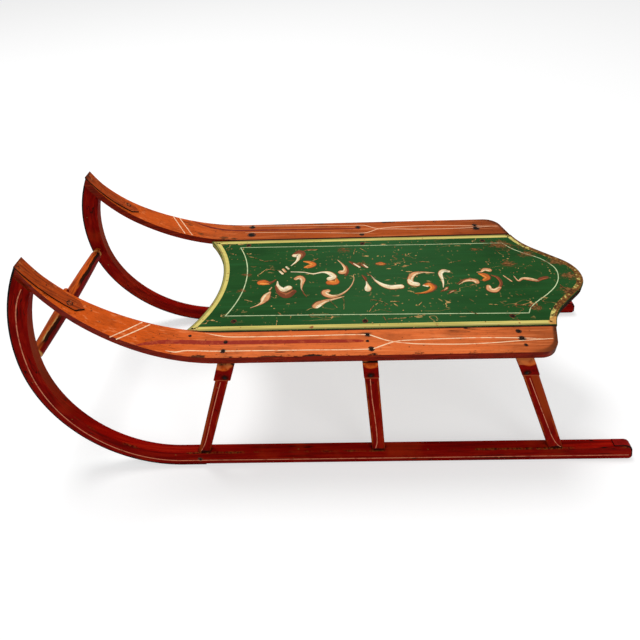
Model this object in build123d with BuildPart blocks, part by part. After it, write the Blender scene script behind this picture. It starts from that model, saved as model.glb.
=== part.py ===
# A child's wooden snow sled with two bow runners, a painted deck board and two bent side rails.
# Frame: +X is forward towards the raised tips, +Y is the rider's left, +Z is up, in millimetres.
# The origin is on the floor, below the middle of the whole sled.

import os
from collections import namedtuple
from math import atan2, hypot, radians, tan

from build123d import *

os.makedirs("parts", exist_ok=True)

# The whole sled: runner_out is from the rail's edge out to the runner's face at the floor
sled_length = 971.0
deck_height = 230.8
splay_angle = 7.9
runner_out = 12.5
left_heel_short = 39.0

# Runners, steam-bent or sawn from one plank each; the bow's upper arc is trimmed at the rail
runner_thick = 16.5
runner_depth = 26.8
bow_low_radius = 205.0
bow_low_turn = 90.0
bow_high_radius = 285.0
bow_high_turn = 60.0
heel_slant = 6.0
heel_low_radius = 3.5
heel_top_radius = 12.0

# Irons below the runners and over the tips
iron_thick = 2.5
iron_inset = 0.4
shoe_inset = 2.0
iron_joint_from_bow = 38.0
heel_iron_lap = 26.0
strap_thick = 2.0
strap_reach = 67.5
strap_point = 8.0
strap_end_in = 8.5
strap_end_width = 19.0

# Side rails: flat along the deck, then sweeping up to the tips, where the bows trim them
rail_width = 55.2
rail_thick = 11.0
rail_rear_in = 196.0
rail_end_slant = 14.0
rail_end_round = 28.0
sweep_back = 297.0
sweep_low_radius = 330.0
sweep_high_radius = 207.0
sweep_low_turn = 32.8
sweep_high_turn = 50.0
tip_width = 22.8

# Deck board
deck_half_width = 125.0
deck_gap = 0.6
deck_front_back = 237.6
deck_front_radius = 225.0
deck_rear_out = 2.0
tail_radius = 60.0
ogee_in = 8.2
ogee_drop = 28.7
ogee_round_share = 0.868
deck_round = 1.2

# Benches that cross under the deck, and the raked posts below them
bench_height = 30.0
bench_end_out = 4.8
bench_end_lift = 8.0
bench_round = 2.0
post_top_out = 2.6
post_depth = 14.5
post_round = 4.5
tenon_share = 0.5
bench_tenon = 14.0
runner_tenon = 12.0

# Each bench with its two posts: its place along the flat of the rails, its widths and its rake
front_bench_share = 0.981
front_bench_width = 24.5
front_post_width = 19.0
front_rake_angle = 18.0
middle_bench_share = 0.563
middle_bench_width = 21.5
middle_post_width = 20.5
middle_rake_angle = -5.6
rear_bench_share = 0.12
rear_bench_width = 24.5
rear_post_width = 23.0
rear_rake_angle = -24.4

# Turned crossbar between the bows, and the small peg at its middle
bar_back = 11.5
bar_drop = 4.0
bar_radius = 11.0
bar_end_radius = 8.7
bar_neck_radius = 7.5
bar_neck_length = 16.0
bar_ring = 3.0
bar_tenon_radius = 5.5
bar_tenon_length = 10.0
peg_radius = 2.8
peg_knob_radius = 4.6
peg_neck = 1.5
peg_hole_depth = 7.0

# One overrun for every cut that goes right through
overrun = 60.0

# Worked out from the sizes above
front_x = sled_length / 2
bow_x = front_x - bow_low_radius
wood_bottom = iron_thick
wood_top = runner_depth
rail_bottom = deck_height - rail_thick
bench_bottom = rail_bottom - bench_height
rail_outer_y = deck_half_width + rail_width
outer_y = rail_outer_y + runner_out
inner_y = outer_y - runner_thick
splay_share = tan(radians(splay_angle))
heel_x = {"left": left_heel_short - front_x + iron_thick, "right": iron_thick - front_x}
side_sign = {"left": 1, "right": -1}
sweep_x = front_x - sweep_back
rail_rear_x = rail_rear_in - front_x
deck_front_x = front_x - deck_front_back
deck_rear_x = rail_rear_x - deck_rear_out
bar_x = front_x - bar_back
bar_z = bow_low_radius - bar_drop
bar_face_y = inner_y - splay_share * bar_z
half_span = outer_y + overrun

Row = namedtuple("Row", "name place_share bench_width post_width rake")
bench_rows = (
    Row("front", front_bench_share, front_bench_width, front_post_width, front_rake_angle),
    Row("middle", middle_bench_share, middle_bench_width, middle_post_width, middle_rake_angle),
    Row("rear", rear_bench_share, rear_bench_width, rear_post_width, rear_rake_angle),
)


def finish(piece, name):
    """Label a finished piece and write its file."""
    piece.label = name
    export_step(piece, f"parts/{name}.step")


def splay_plane(side, y_at_floor):
    """The leaning plane of a runner's side, its normal pointing away from the sled's middle."""
    return Plane(origin=(0, side * y_at_floor, 0), z_dir=(0, side, splay_share))


def draw_sweep(lift, start_x):
    """The rail's top line raised by lift, from start_x on the flat stretch to beyond the tip."""
    flat = Line((start_x, deck_height + lift), (sweep_x, deck_height + lift))
    low = JernArc(
        start=flat @ 1, tangent=flat % 1, radius=sweep_low_radius - lift, arc_size=sweep_low_turn
    )
    return JernArc(
        start=low @ 1, tangent=low % 1, radius=sweep_high_radius - lift, arc_size=sweep_high_turn
    )


def draw_bow(start, inset):
    """The two arcs of the bow, inset from the iron's outer line, going up from start."""
    low = JernArc(start=start, tangent=(1, 0), radius=bow_low_radius - inset, arc_size=bow_low_turn)
    return low, JernArc(
        start=low @ 1, tangent=low % 1, radius=bow_high_radius - inset, arc_size=bow_high_turn
    )


def find_tip():
    """Where the rail's top line meets the bow's front line in the side view, as x and z."""
    with BuildLine():
        rail_line = draw_sweep(0, 0)
        bow_line = draw_bow((bow_x, 0), 0)[1]
    meeting = rail_line.find_intersection_points(bow_line)[0]
    return meeting.X, meeting.Y


def above_sweep(lift):
    """Everything above the rail's line raised by lift, used to trim the bow's top end."""
    with BuildPart() as region:
        with BuildSketch(Plane.XZ):
            with BuildLine():
                arc = draw_sweep(lift, 0)
                beyond = Line(arc @ 1, arc @ 1 + arc % 1 * bow_high_radius)
                Polyline(beyond @ 1, (0, (beyond @ 1).Y), (0, deck_height + lift))
            make_face()
        extrude(amount=half_span, both=True)
    return region.part


def beyond_bow(inset):
    """Everything in front of the bow's upper arc, used to trim the rail and the strap at the tip."""
    with BuildPart() as region:
        with BuildSketch(Plane.XZ):
            with Locations((front_x - bow_high_radius, bow_low_radius)):
                Rectangle(
                    bow_high_radius + overrun,
                    bow_high_radius + overrun,
                    align=(Align.MIN, Align.MIN),
                )
                Circle(bow_high_radius - inset, mode=Mode.SUBTRACT)
        extrude(amount=half_span, both=True)
    return region.part


def bench_x(row):
    """The middle of a bench's top, along the flat of the rails."""
    return rail_rear_x + (sweep_x - rail_rear_x) * row.place_share


def post_centre(row, side, z):
    """The middle of a post at height z: x follows its rake, y runs from the bench to the runner."""
    top_y = rail_outer_y + post_top_out - post_depth / 2
    foot_y = outer_y - splay_share * wood_top - runner_thick / 2
    down_share = (bench_bottom - z) / (bench_bottom - wood_top)
    centre_x = bench_x(row) + (rail_bottom - z) * tan(radians(row.rake))
    return centre_x, side * (top_y + (foot_y - top_y) * down_share)


def raked_bar(row, side, z_low, z_high, width, depth, corner):
    """A straight bar along the post's line between two heights, with level ends."""
    with BuildPart() as bar:
        for z in (z_low, z_high):
            with BuildSketch(Plane.XY.offset(z)):
                with Locations(post_centre(row, side, z)):
                    if corner:
                        RectangleRounded(width, depth, corner)
                    else:
                        Rectangle(width, depth)
        loft(ruled=True)
    return bar.part


def post_tenons(row, side):
    """The two tenons of a post, the upper one in the bench and the lower one in the runner."""
    width = row.post_width * tenon_share
    depth = post_depth * tenon_share
    upper = raked_bar(row, side, bench_bottom, bench_bottom + bench_tenon, width, depth, 0)
    lower = raked_bar(row, side, wood_top - runner_tenon, wood_top, width, depth, 0)
    return upper, lower


def make_runner(hand):
    """One bow runner: heel, straight sole and bow, with mortises for its posts and the crossbar."""
    side = side_sign[hand]
    with BuildPart() as runner:
        with BuildSketch(Plane.XZ):
            with BuildLine():
                heel = FilletPolyline(
                    (bow_x, wood_bottom),
                    (heel_x[hand], wood_bottom),
                    (heel_x[hand] + heel_slant, wood_top),
                    (bow_x, wood_top),
                    radius=(heel_low_radius, heel_top_radius),
                )
                outer_low, outer_high = draw_bow(heel @ 0, iron_thick)
                inner_low, inner_high = draw_bow(heel @ 1, runner_depth)
                Line(outer_high @ 1, inner_high @ 1)
            make_face()
        extrude(amount=half_span, both=True)
        split(bisect_by=splay_plane(side, outer_y), keep=Keep.BOTTOM)
        split(bisect_by=splay_plane(side, inner_y), keep=Keep.TOP)
        add(above_sweep(-rail_thick), mode=Mode.SUBTRACT)
        for row in bench_rows:
            add(post_tenons(row, side)[1], mode=Mode.SUBTRACT)
        add(bar_tenon(side), mode=Mode.SUBTRACT)
    finish(runner.part, f"runner_{hand}")


def make_shoe(hand):
    """The narrow sole iron: under the straight part, round the heel and a little way over its top."""
    side = side_sign[hand]
    with BuildPart() as shoe:
        with BuildSketch(Plane.XZ):
            with BuildLine():
                FilletPolyline(
                    (bow_x - iron_joint_from_bow, wood_bottom),
                    (heel_x[hand], wood_bottom),
                    (heel_x[hand] + heel_slant, wood_top),
                    (heel_x[hand] + heel_slant + heel_iron_lap, wood_top),
                    radius=(heel_low_radius, heel_top_radius),
                )
                offset(amount=iron_thick, side=Side.LEFT)
            make_face()
        extrude(amount=half_span, both=True)
        split(bisect_by=splay_plane(side, outer_y - shoe_inset), keep=Keep.BOTTOM)
        split(bisect_by=splay_plane(side, inner_y + shoe_inset), keep=Keep.TOP)
    finish(shoe.part, f"runner_shoe_{hand}")


def make_bow_iron(hand):
    """The bow's iron: up the front of the runner, over the tip and back along the rail as a strap."""
    side = side_sign[hand]
    with BuildPart() as strap:
        with BuildSketch(Plane.XZ):
            with BuildLine():
                draw_sweep(0, 0)
                offset(amount=strap_thick, side=Side.LEFT)
            make_face()
        extrude(amount=half_span, both=True)
        with BuildSketch(Plane.XY):
            end_x = tip_x - strap_reach
            end_inner_y = tip_inner_y + strap_end_in
            with BuildLine():
                Polyline(
                    (tip_x + overrun, side * tip_inner_y),
                    (tip_x, side * tip_inner_y),
                    (end_x + strap_point, side * end_inner_y),
                    (end_x, side * (end_inner_y + strap_end_width / 2)),
                    (end_x + strap_point, side * (end_inner_y + strap_end_width)),
                    (tip_x, side * tip_outer_y),
                    (tip_x + overrun, side * tip_outer_y),
                    close=True,
                )
            make_face()
        extrude(amount=sled_length, both=True, mode=Mode.INTERSECT)
        add(beyond_bow(0), mode=Mode.SUBTRACT)
    with BuildPart() as iron:
        with BuildSketch(Plane.XZ):
            with BuildLine():
                joint = Line((bow_x - iron_joint_from_bow, wood_bottom), (bow_x, wood_bottom))
                draw_bow(joint @ 1, iron_thick)
                offset(amount=iron_thick, side=Side.RIGHT)
            make_face()
        extrude(amount=half_span, both=True)
        split(bisect_by=splay_plane(side, outer_y - iron_inset), keep=Keep.BOTTOM)
        split(bisect_by=splay_plane(side, inner_y + iron_inset), keep=Keep.TOP)
        add(above_sweep(strap_thick), mode=Mode.SUBTRACT)
        add(strap.part)
    finish(iron.part, f"bow_iron_{hand}")


def make_rail(hand):
    """One side rail: a thin plank, flat along the deck, bent up and narrowed to the tip."""
    side = side_sign[hand]
    with BuildPart() as rail:
        with BuildSketch(Plane.XZ):
            with BuildLine():
                draw_sweep(0, rail_rear_x)
                offset(amount=rail_thick, side=Side.RIGHT)
            make_face()
        extrude(amount=half_span, both=True)
        with BuildSketch(Plane.XY):
            with BuildLine():
                tip_outer = (tip_x, side * tip_outer_y)
                rear = FilletPolyline(
                    (rail_rear_x, side * deck_half_width),
                    (rail_rear_x + rail_end_slant, side * rail_outer_y),
                    (sweep_x, side * rail_outer_y),
                    radius=rail_end_round,
                )
                TangentArc(rear @ 1, tip_outer, tangent=(1, 0))
                Polyline(
                    tip_outer,
                    (tip_x + overrun, side * tip_outer_y),
                    (tip_x + overrun, side * tip_inner_y),
                    (tip_x, side * tip_inner_y),
                    (deck_front_x, side * deck_half_width),
                    rear @ 0,
                )
            make_face()
        extrude(amount=sled_length, both=True, mode=Mode.INTERSECT)
        add(beyond_bow(iron_thick), mode=Mode.SUBTRACT)
    finish(rail.part, f"rail_{hand}")


def make_deck():
    """The deck board: a hollow front edge, straight sides and an ogee tail with a rounded end."""
    half = deck_half_width - deck_gap
    hollow = deck_front_radius - (deck_front_radius**2 - half**2) ** 0.5
    # The tail's long straight stretches run at 45 degrees and would meet at point_x
    ogee_y = half - ogee_drop
    point_x = deck_rear_x - ogee_in - ogee_y
    ogee_turn = atan2(ogee_drop, ogee_in) - radians(45)
    ogee_radius = hypot(ogee_in, ogee_drop) * ogee_round_share / tan(ogee_turn / 2)
    with BuildPart() as deck:
        with BuildSketch(Plane.XY.offset(rail_bottom)):
            with BuildLine():
                ThreePointArc((deck_front_x, -half), (deck_front_x - hollow, 0), (deck_front_x, half))
                Line((deck_front_x, half), (deck_rear_x, half))
                FilletPolyline(
                    (deck_rear_x, half),
                    (point_x + ogee_y, ogee_y),
                    (point_x, 0),
                    (point_x + ogee_y, -ogee_y),
                    (deck_rear_x, -half),
                    radius=(ogee_radius, tail_radius, ogee_radius),
                )
                Line((deck_rear_x, -half), (deck_front_x, -half))
            make_face()
        extrude(amount=rail_thick)
        fillet(deck.edges().group_by(Axis.Z)[-1], deck_round)
    finish(deck.part, "deck_board")


def make_bench(row):
    """One cross bench: a raked bar with level top and bottom, its ends out past the rails."""
    shift = bench_height * tan(radians(row.rake))
    rear_x = bench_x(row) - row.bench_width / 2
    end_y = rail_outer_y + bench_end_out
    with BuildPart() as bench:
        with BuildSketch(Plane.XZ):
            with BuildLine():
                Polyline(
                    (rear_x, rail_bottom),
                    (rear_x + row.bench_width, rail_bottom),
                    (rear_x + row.bench_width + shift, bench_bottom),
                    (rear_x + shift, bench_bottom),
                    close=True,
                )
            make_face()
        extrude(amount=end_y, both=True)
        fillet(bench.edges().filter_by(Axis.Y).group_by(Axis.Z)[0], bench_round)
        with BuildSketch(Plane.YZ.offset(bench_x(row))):
            with BuildLine():
                Polyline(
                    (-rail_outer_y, rail_bottom),
                    (-end_y, rail_bottom - bench_end_lift),
                    (-end_y, bench_bottom),
                    (end_y, bench_bottom),
                    (end_y, rail_bottom - bench_end_lift),
                    (rail_outer_y, rail_bottom),
                    close=True,
                )
            make_face()
        extrude(amount=overrun, both=True, mode=Mode.INTERSECT)
        for side in side_sign.values():
            add(post_tenons(row, side)[0], mode=Mode.SUBTRACT)
    finish(bench.part, f"bench_{row.name}")


def make_post(row, hand):
    """One raked post with rounded corners and a tenon at each end."""
    side = side_sign[hand]
    with BuildPart() as post:
        add(raked_bar(row, side, wood_top, bench_bottom, row.post_width, post_depth, post_round))
        for tenon in post_tenons(row, side):
            add(tenon)
    finish(post.part, f"post_{row.name}_{hand}")


def bar_tenon(side):
    """The round tenon at one end of the crossbar, from inside its neck into the runner."""
    with BuildPart() as tenon:
        with BuildSketch(Plane.XZ.offset(-side * (bar_face_y - bar_neck_length / 2))):
            with Locations((bar_x, bar_z)):
                Circle(bar_tenon_radius)
        extrude(amount=-side * (bar_neck_length / 2 + bar_tenon_length))
    return tenon.part


def peg_shape(knob):
    """The peg's shank in the crossbar, with or without its knob."""
    bar_top = bar_z + bar_radius
    with BuildPart() as peg:
        with Locations((bar_x, 0, bar_top - peg_hole_depth)):
            Cylinder(
                peg_radius,
                peg_hole_depth + peg_neck + peg_knob_radius,
                align=(Align.CENTER, Align.CENTER, Align.MIN),
            )
        if knob:
            with Locations((bar_x, 0, bar_top + peg_neck + peg_knob_radius)):
                Sphere(peg_knob_radius)
    return peg.part


def make_crossbar():
    """The turned crossbar: a swelling middle, a ring and a thinner neck at each end, round tenons."""
    with BuildPart() as bar:
        with BuildSketch(Plane.XY.offset(bar_z)):
            with BuildLine():
                neck_y = bar_face_y - bar_neck_length
                TangentArc((bar_x + bar_radius, 0), (bar_x + bar_end_radius, neck_y), tangent=(0, 1))
                Polyline(
                    (bar_x + bar_end_radius, neck_y),
                    (bar_x + bar_neck_radius, neck_y + bar_ring),
                    (bar_x + bar_neck_radius, bar_face_y + overrun),
                    (bar_x, bar_face_y + overrun),
                    (bar_x, 0),
                    (bar_x + bar_radius, 0),
                )
            make_face()
        revolve(axis=Axis((bar_x, 0, bar_z), (0, 1, 0)))
        mirror(about=Plane.XZ)
        for side in side_sign.values():
            split(bisect_by=splay_plane(side, inner_y), keep=Keep.BOTTOM)
        for side in side_sign.values():
            add(bar_tenon(side))
        add(peg_shape(knob=False), mode=Mode.SUBTRACT)
    finish(bar.part, "crossbar")


tip_x, tip_z = find_tip()
tip_outer_y = outer_y - splay_share * tip_z
tip_inner_y = tip_outer_y - tip_width

make_deck()
make_crossbar()
finish(peg_shape(knob=True), "tow_peg")
for bench_row in bench_rows:
    make_bench(bench_row)
for hand_name in side_sign:
    make_rail(hand_name)
    make_runner(hand_name)
    make_bow_iron(hand_name)
    make_shoe(hand_name)
    for bench_row in bench_rows:
        make_post(bench_row, hand_name)
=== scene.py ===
import math

import bmesh
import bpy
from bpy.props import FloatProperty, FloatVectorProperty, PointerProperty
from mathutils import Matrix, Vector, noise
from mathutils.bvhtree import BVHTree


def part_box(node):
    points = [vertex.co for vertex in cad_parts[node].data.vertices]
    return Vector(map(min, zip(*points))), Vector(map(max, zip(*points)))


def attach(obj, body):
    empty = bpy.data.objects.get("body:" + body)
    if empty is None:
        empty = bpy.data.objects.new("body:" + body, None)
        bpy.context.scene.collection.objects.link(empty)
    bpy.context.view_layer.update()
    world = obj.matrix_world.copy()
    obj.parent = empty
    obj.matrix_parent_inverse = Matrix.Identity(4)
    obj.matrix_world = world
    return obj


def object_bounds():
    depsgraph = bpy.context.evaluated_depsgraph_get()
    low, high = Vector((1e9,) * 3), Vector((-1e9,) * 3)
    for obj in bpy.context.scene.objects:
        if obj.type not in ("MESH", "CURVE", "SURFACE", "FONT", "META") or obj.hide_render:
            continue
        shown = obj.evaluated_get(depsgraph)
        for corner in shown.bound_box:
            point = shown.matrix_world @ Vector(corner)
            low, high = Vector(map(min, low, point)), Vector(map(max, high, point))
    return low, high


bl_info = {
    "name": "Painted Snow Sled",
    "version": (1, 0, 0),
    "blender": (4, 5, 0),
    "location": "View3D > Sidebar > Sled",
    "description": "Paints and finishes a wooden snow sled: timber, irons, striping, scrollwork and nails",
    "category": "Object",
}

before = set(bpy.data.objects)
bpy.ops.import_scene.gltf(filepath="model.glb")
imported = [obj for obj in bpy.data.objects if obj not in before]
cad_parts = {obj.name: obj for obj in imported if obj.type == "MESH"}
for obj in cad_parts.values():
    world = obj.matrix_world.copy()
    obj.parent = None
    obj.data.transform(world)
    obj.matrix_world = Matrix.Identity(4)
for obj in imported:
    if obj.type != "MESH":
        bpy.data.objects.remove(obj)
cad_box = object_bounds()

MM = 0.001
SIDES = {"left": 1, "right": -1}
ROWS = ("front", "middle", "rear")

# How much higher each stroke of paint lies than the one before it, so that none coincide, in millimetres
LAYER = 0.006

# Places that the sled's own pieces give, in millimetres
rail_low, rail_high = (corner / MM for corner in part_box("rail_left"))
DECK_TOP = (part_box("deck_board")[1] / MM).z
FRONT_X = cad_box[1][0] / MM

# A rail: its top line as a start, a heading and its stretches, its width, and its rear end's round and slope
RAIL_LINE = ((rail_low.x, DECK_TOP), 0.0, ((478.0, 0.0), (188.9, 330.0), (140.0, 207.0)))
RAIL_WIDTH = 55.2
RAIL_END_ROUND = 28.0
RAIL_END_SLOPE = 0.254

# The runners: where each sole starts, the bow's radii and upper length, the splay, and the outer face's y
RUNNER_STARTS = {"left": -446.5, "right": -485.5}
BOW_LOW_RADIUS = 205.0
BOW_HIGH_RADIUS = 285.0
BOW_HIGH_LENGTH = 165.0
SPLAY = math.tan(math.radians(7.9))
RUNNER_OUT = 192.7

# The posts: the heights where they leave the runner and meet the bench, and x of their feet
POST_LOW, POST_HIGH = 26.8, 189.8
POST_FEET = (242.0, -39.0, -320.0)

# Wear, as x, y and reach: smudges on the deck, its border, its left rear corner and the right rail, and chips
# along a rail's outer edge
DECK_SMUDGES = (
    (-263, -91, 30), (-264, -32, 17), (-19, -41, 12), (-51, -39, 14), (171, -16, 12), (176, 28, 12),
    (-274, 86, 15), (-311, -84, 26), (7, -85, 16), (-342, -33, 22), (-332, 43, 18), (-300, -60, 20),
    (-352, 5, 22), (-218, -77, 12),
)
BORDER_SMUDGES = (
    (227, -85, 16), (221, -58, 10), (213, 20, 8), (218, 60, 9), (215, -20, 7), (60, 119, 7), (-120, 119, 8),
)
BARE_CORNER = ((-293, 119, 22),)
RIGHT_RAIL_SMUDGES = (
    (292, -158, 10), (268, -136, 12), (248, -133, 13), (228, -131, 12), (208, -130, 9),
)
RAIL_CHIPS = ((190, 178, 12), (215, 176, 10), (335, 160, 14), (300, 172, 10), (120, 179, 10), (60, 180, 8))

# A colour Mix node's two inputs and its result
MIX_FIRST, MIX_SECOND, MIX_RESULT = 6, 7, 2


def tint(red, green, blue):
    """A display colour, 0 to 255 a channel, as the linear colour that a shader takes."""
    return [
        ((level / 255 + 0.055) / 1.055) ** 2.4 if level > 10 else level / 3294.6
        for level in (red, green, blue)
    ]


def paint_property(name, description, red, green, blue):
    return FloatVectorProperty(
        name=name, description=description, subtype="COLOR", min=0, max=1, default=tint(red, green, blue)
    )


def size_property(name, description, default):
    return FloatProperty(
        name=name, description=description, subtype="DISTANCE", unit="LENGTH", min=0, default=default * MM,
        precision=5,
    )


class SledColours(bpy.types.PropertyGroup):
    """The sled's paints, irons and bare wood."""

    deck_green: paint_property("Deck green", "Field of the deck board", 31, 74, 31)
    border_yellow: paint_property("Border yellow", "Olive yellow edging round the deck", 212, 196, 108)
    pinstripe: paint_property("Pinstripe", "Fine line inside the deck's border", 200, 214, 164)
    ivory: paint_property("Ivory", "Lights on the cream strokes", 246, 236, 206)
    cream: paint_property("Cream", "Light strokes of the scrollwork", 236, 212, 168)
    peach: paint_property("Peach", "Warm strokes of the scrollwork", 218, 154, 104)
    amber: paint_property("Amber", "Lights on the orange strokes", 238, 150, 66)
    orange: paint_property("Orange", "Bright strokes of the scrollwork", 208, 106, 36)
    umber: paint_property("Umber", "Brown shadow strokes of the scrollwork", 118, 58, 30)
    russet: paint_property("Russet", "Lights on the brown strokes", 164, 92, 52)
    rail_orange: paint_property("Rail orange", "Top of the side rails", 216, 106, 50)
    band_red: paint_property("Band red", "Broad band along the rails", 146, 38, 20)
    frame_red: paint_property("Frame red", "Runners, posts, benches and rail edges", 122, 7, 2)
    stripe_white: paint_property("Stripe white", "Fine lines on the rails", 244, 206, 166)
    stripe_pink: paint_property("Stripe pink", "Fine lines on runners and posts", 206, 124, 90)
    bare_wood: paint_property("Bare wood", "Fresh wood where the paint has gone", 206, 160, 100)
    iron: paint_property("Iron", "Blackened irons and nail heads", 18, 13, 11)


class SledSizes(bpy.types.PropertyGroup):
    """Sizes of the painter's and the smith's work."""

    border_width: size_property("Border width", "Edging along the deck's sides", 9.0)
    pinstripe_width: size_property("Pinstripe width", "Line inside the deck's border", 1.35)
    rail_line_width: size_property("Rail line width", "White lines on the rails", 1.6)
    runner_line_width: size_property("Runner line width", "Line along each runner", 1.5)
    post_line_width: size_property("Post line width", "Line down each post", 1.1)
    paint_thickness: size_property("Paint thickness", "How proud the striping stands", 0.12)
    nail_radius: size_property("Nail radius", "Head of a large nail", 3.0)
    screw_radius: size_property("Screw radius", "Head of a strap's screw", 3.6)


# ---- Finishes ----


class Value:
    """A number or a vector inside a finish, so that its maths reads as a plain expression."""

    def __init__(self, finish, socket):
        self.finish = finish
        self.socket = socket

    def maths(self, operation, *terms):
        return self.finish.node("ShaderNodeMath", {"operation": operation}, dict(enumerate(terms)))

    def __add__(self, other):
        return self.maths("ADD", self, other)

    __radd__ = __add__

    def __sub__(self, other):
        return self.maths("SUBTRACT", self, other)

    def __rsub__(self, other):
        return self.maths("SUBTRACT", other, self)

    def __mul__(self, other):
        return self.maths("MULTIPLY", self, other)

    __rmul__ = __mul__

    def __truediv__(self, other):
        return self.maths("DIVIDE", self, other)

    def __pow__(self, other):
        return self.maths("POWER", self, other)

    def __gt__(self, other):
        return self.maths("GREATER_THAN", self, other)

    def __lt__(self, other):
        return self.maths("LESS_THAN", self, other)

    def __abs__(self):
        return self.maths("ABSOLUTE", self)

    def above(self, low, high):
        """0 below low, 1 over high, and a smooth slope between them."""
        inputs = {"Value": self, "From Min": low, "From Max": high}
        return self.finish.node("ShaderNodeMapRange", {"interpolation_type": "SMOOTHSTEP"}, inputs)

    def below(self, low, high):
        return 1 - self.above(low, high)

    def either(self, other):
        return self.maths("MAXIMUM", self, other)


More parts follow.
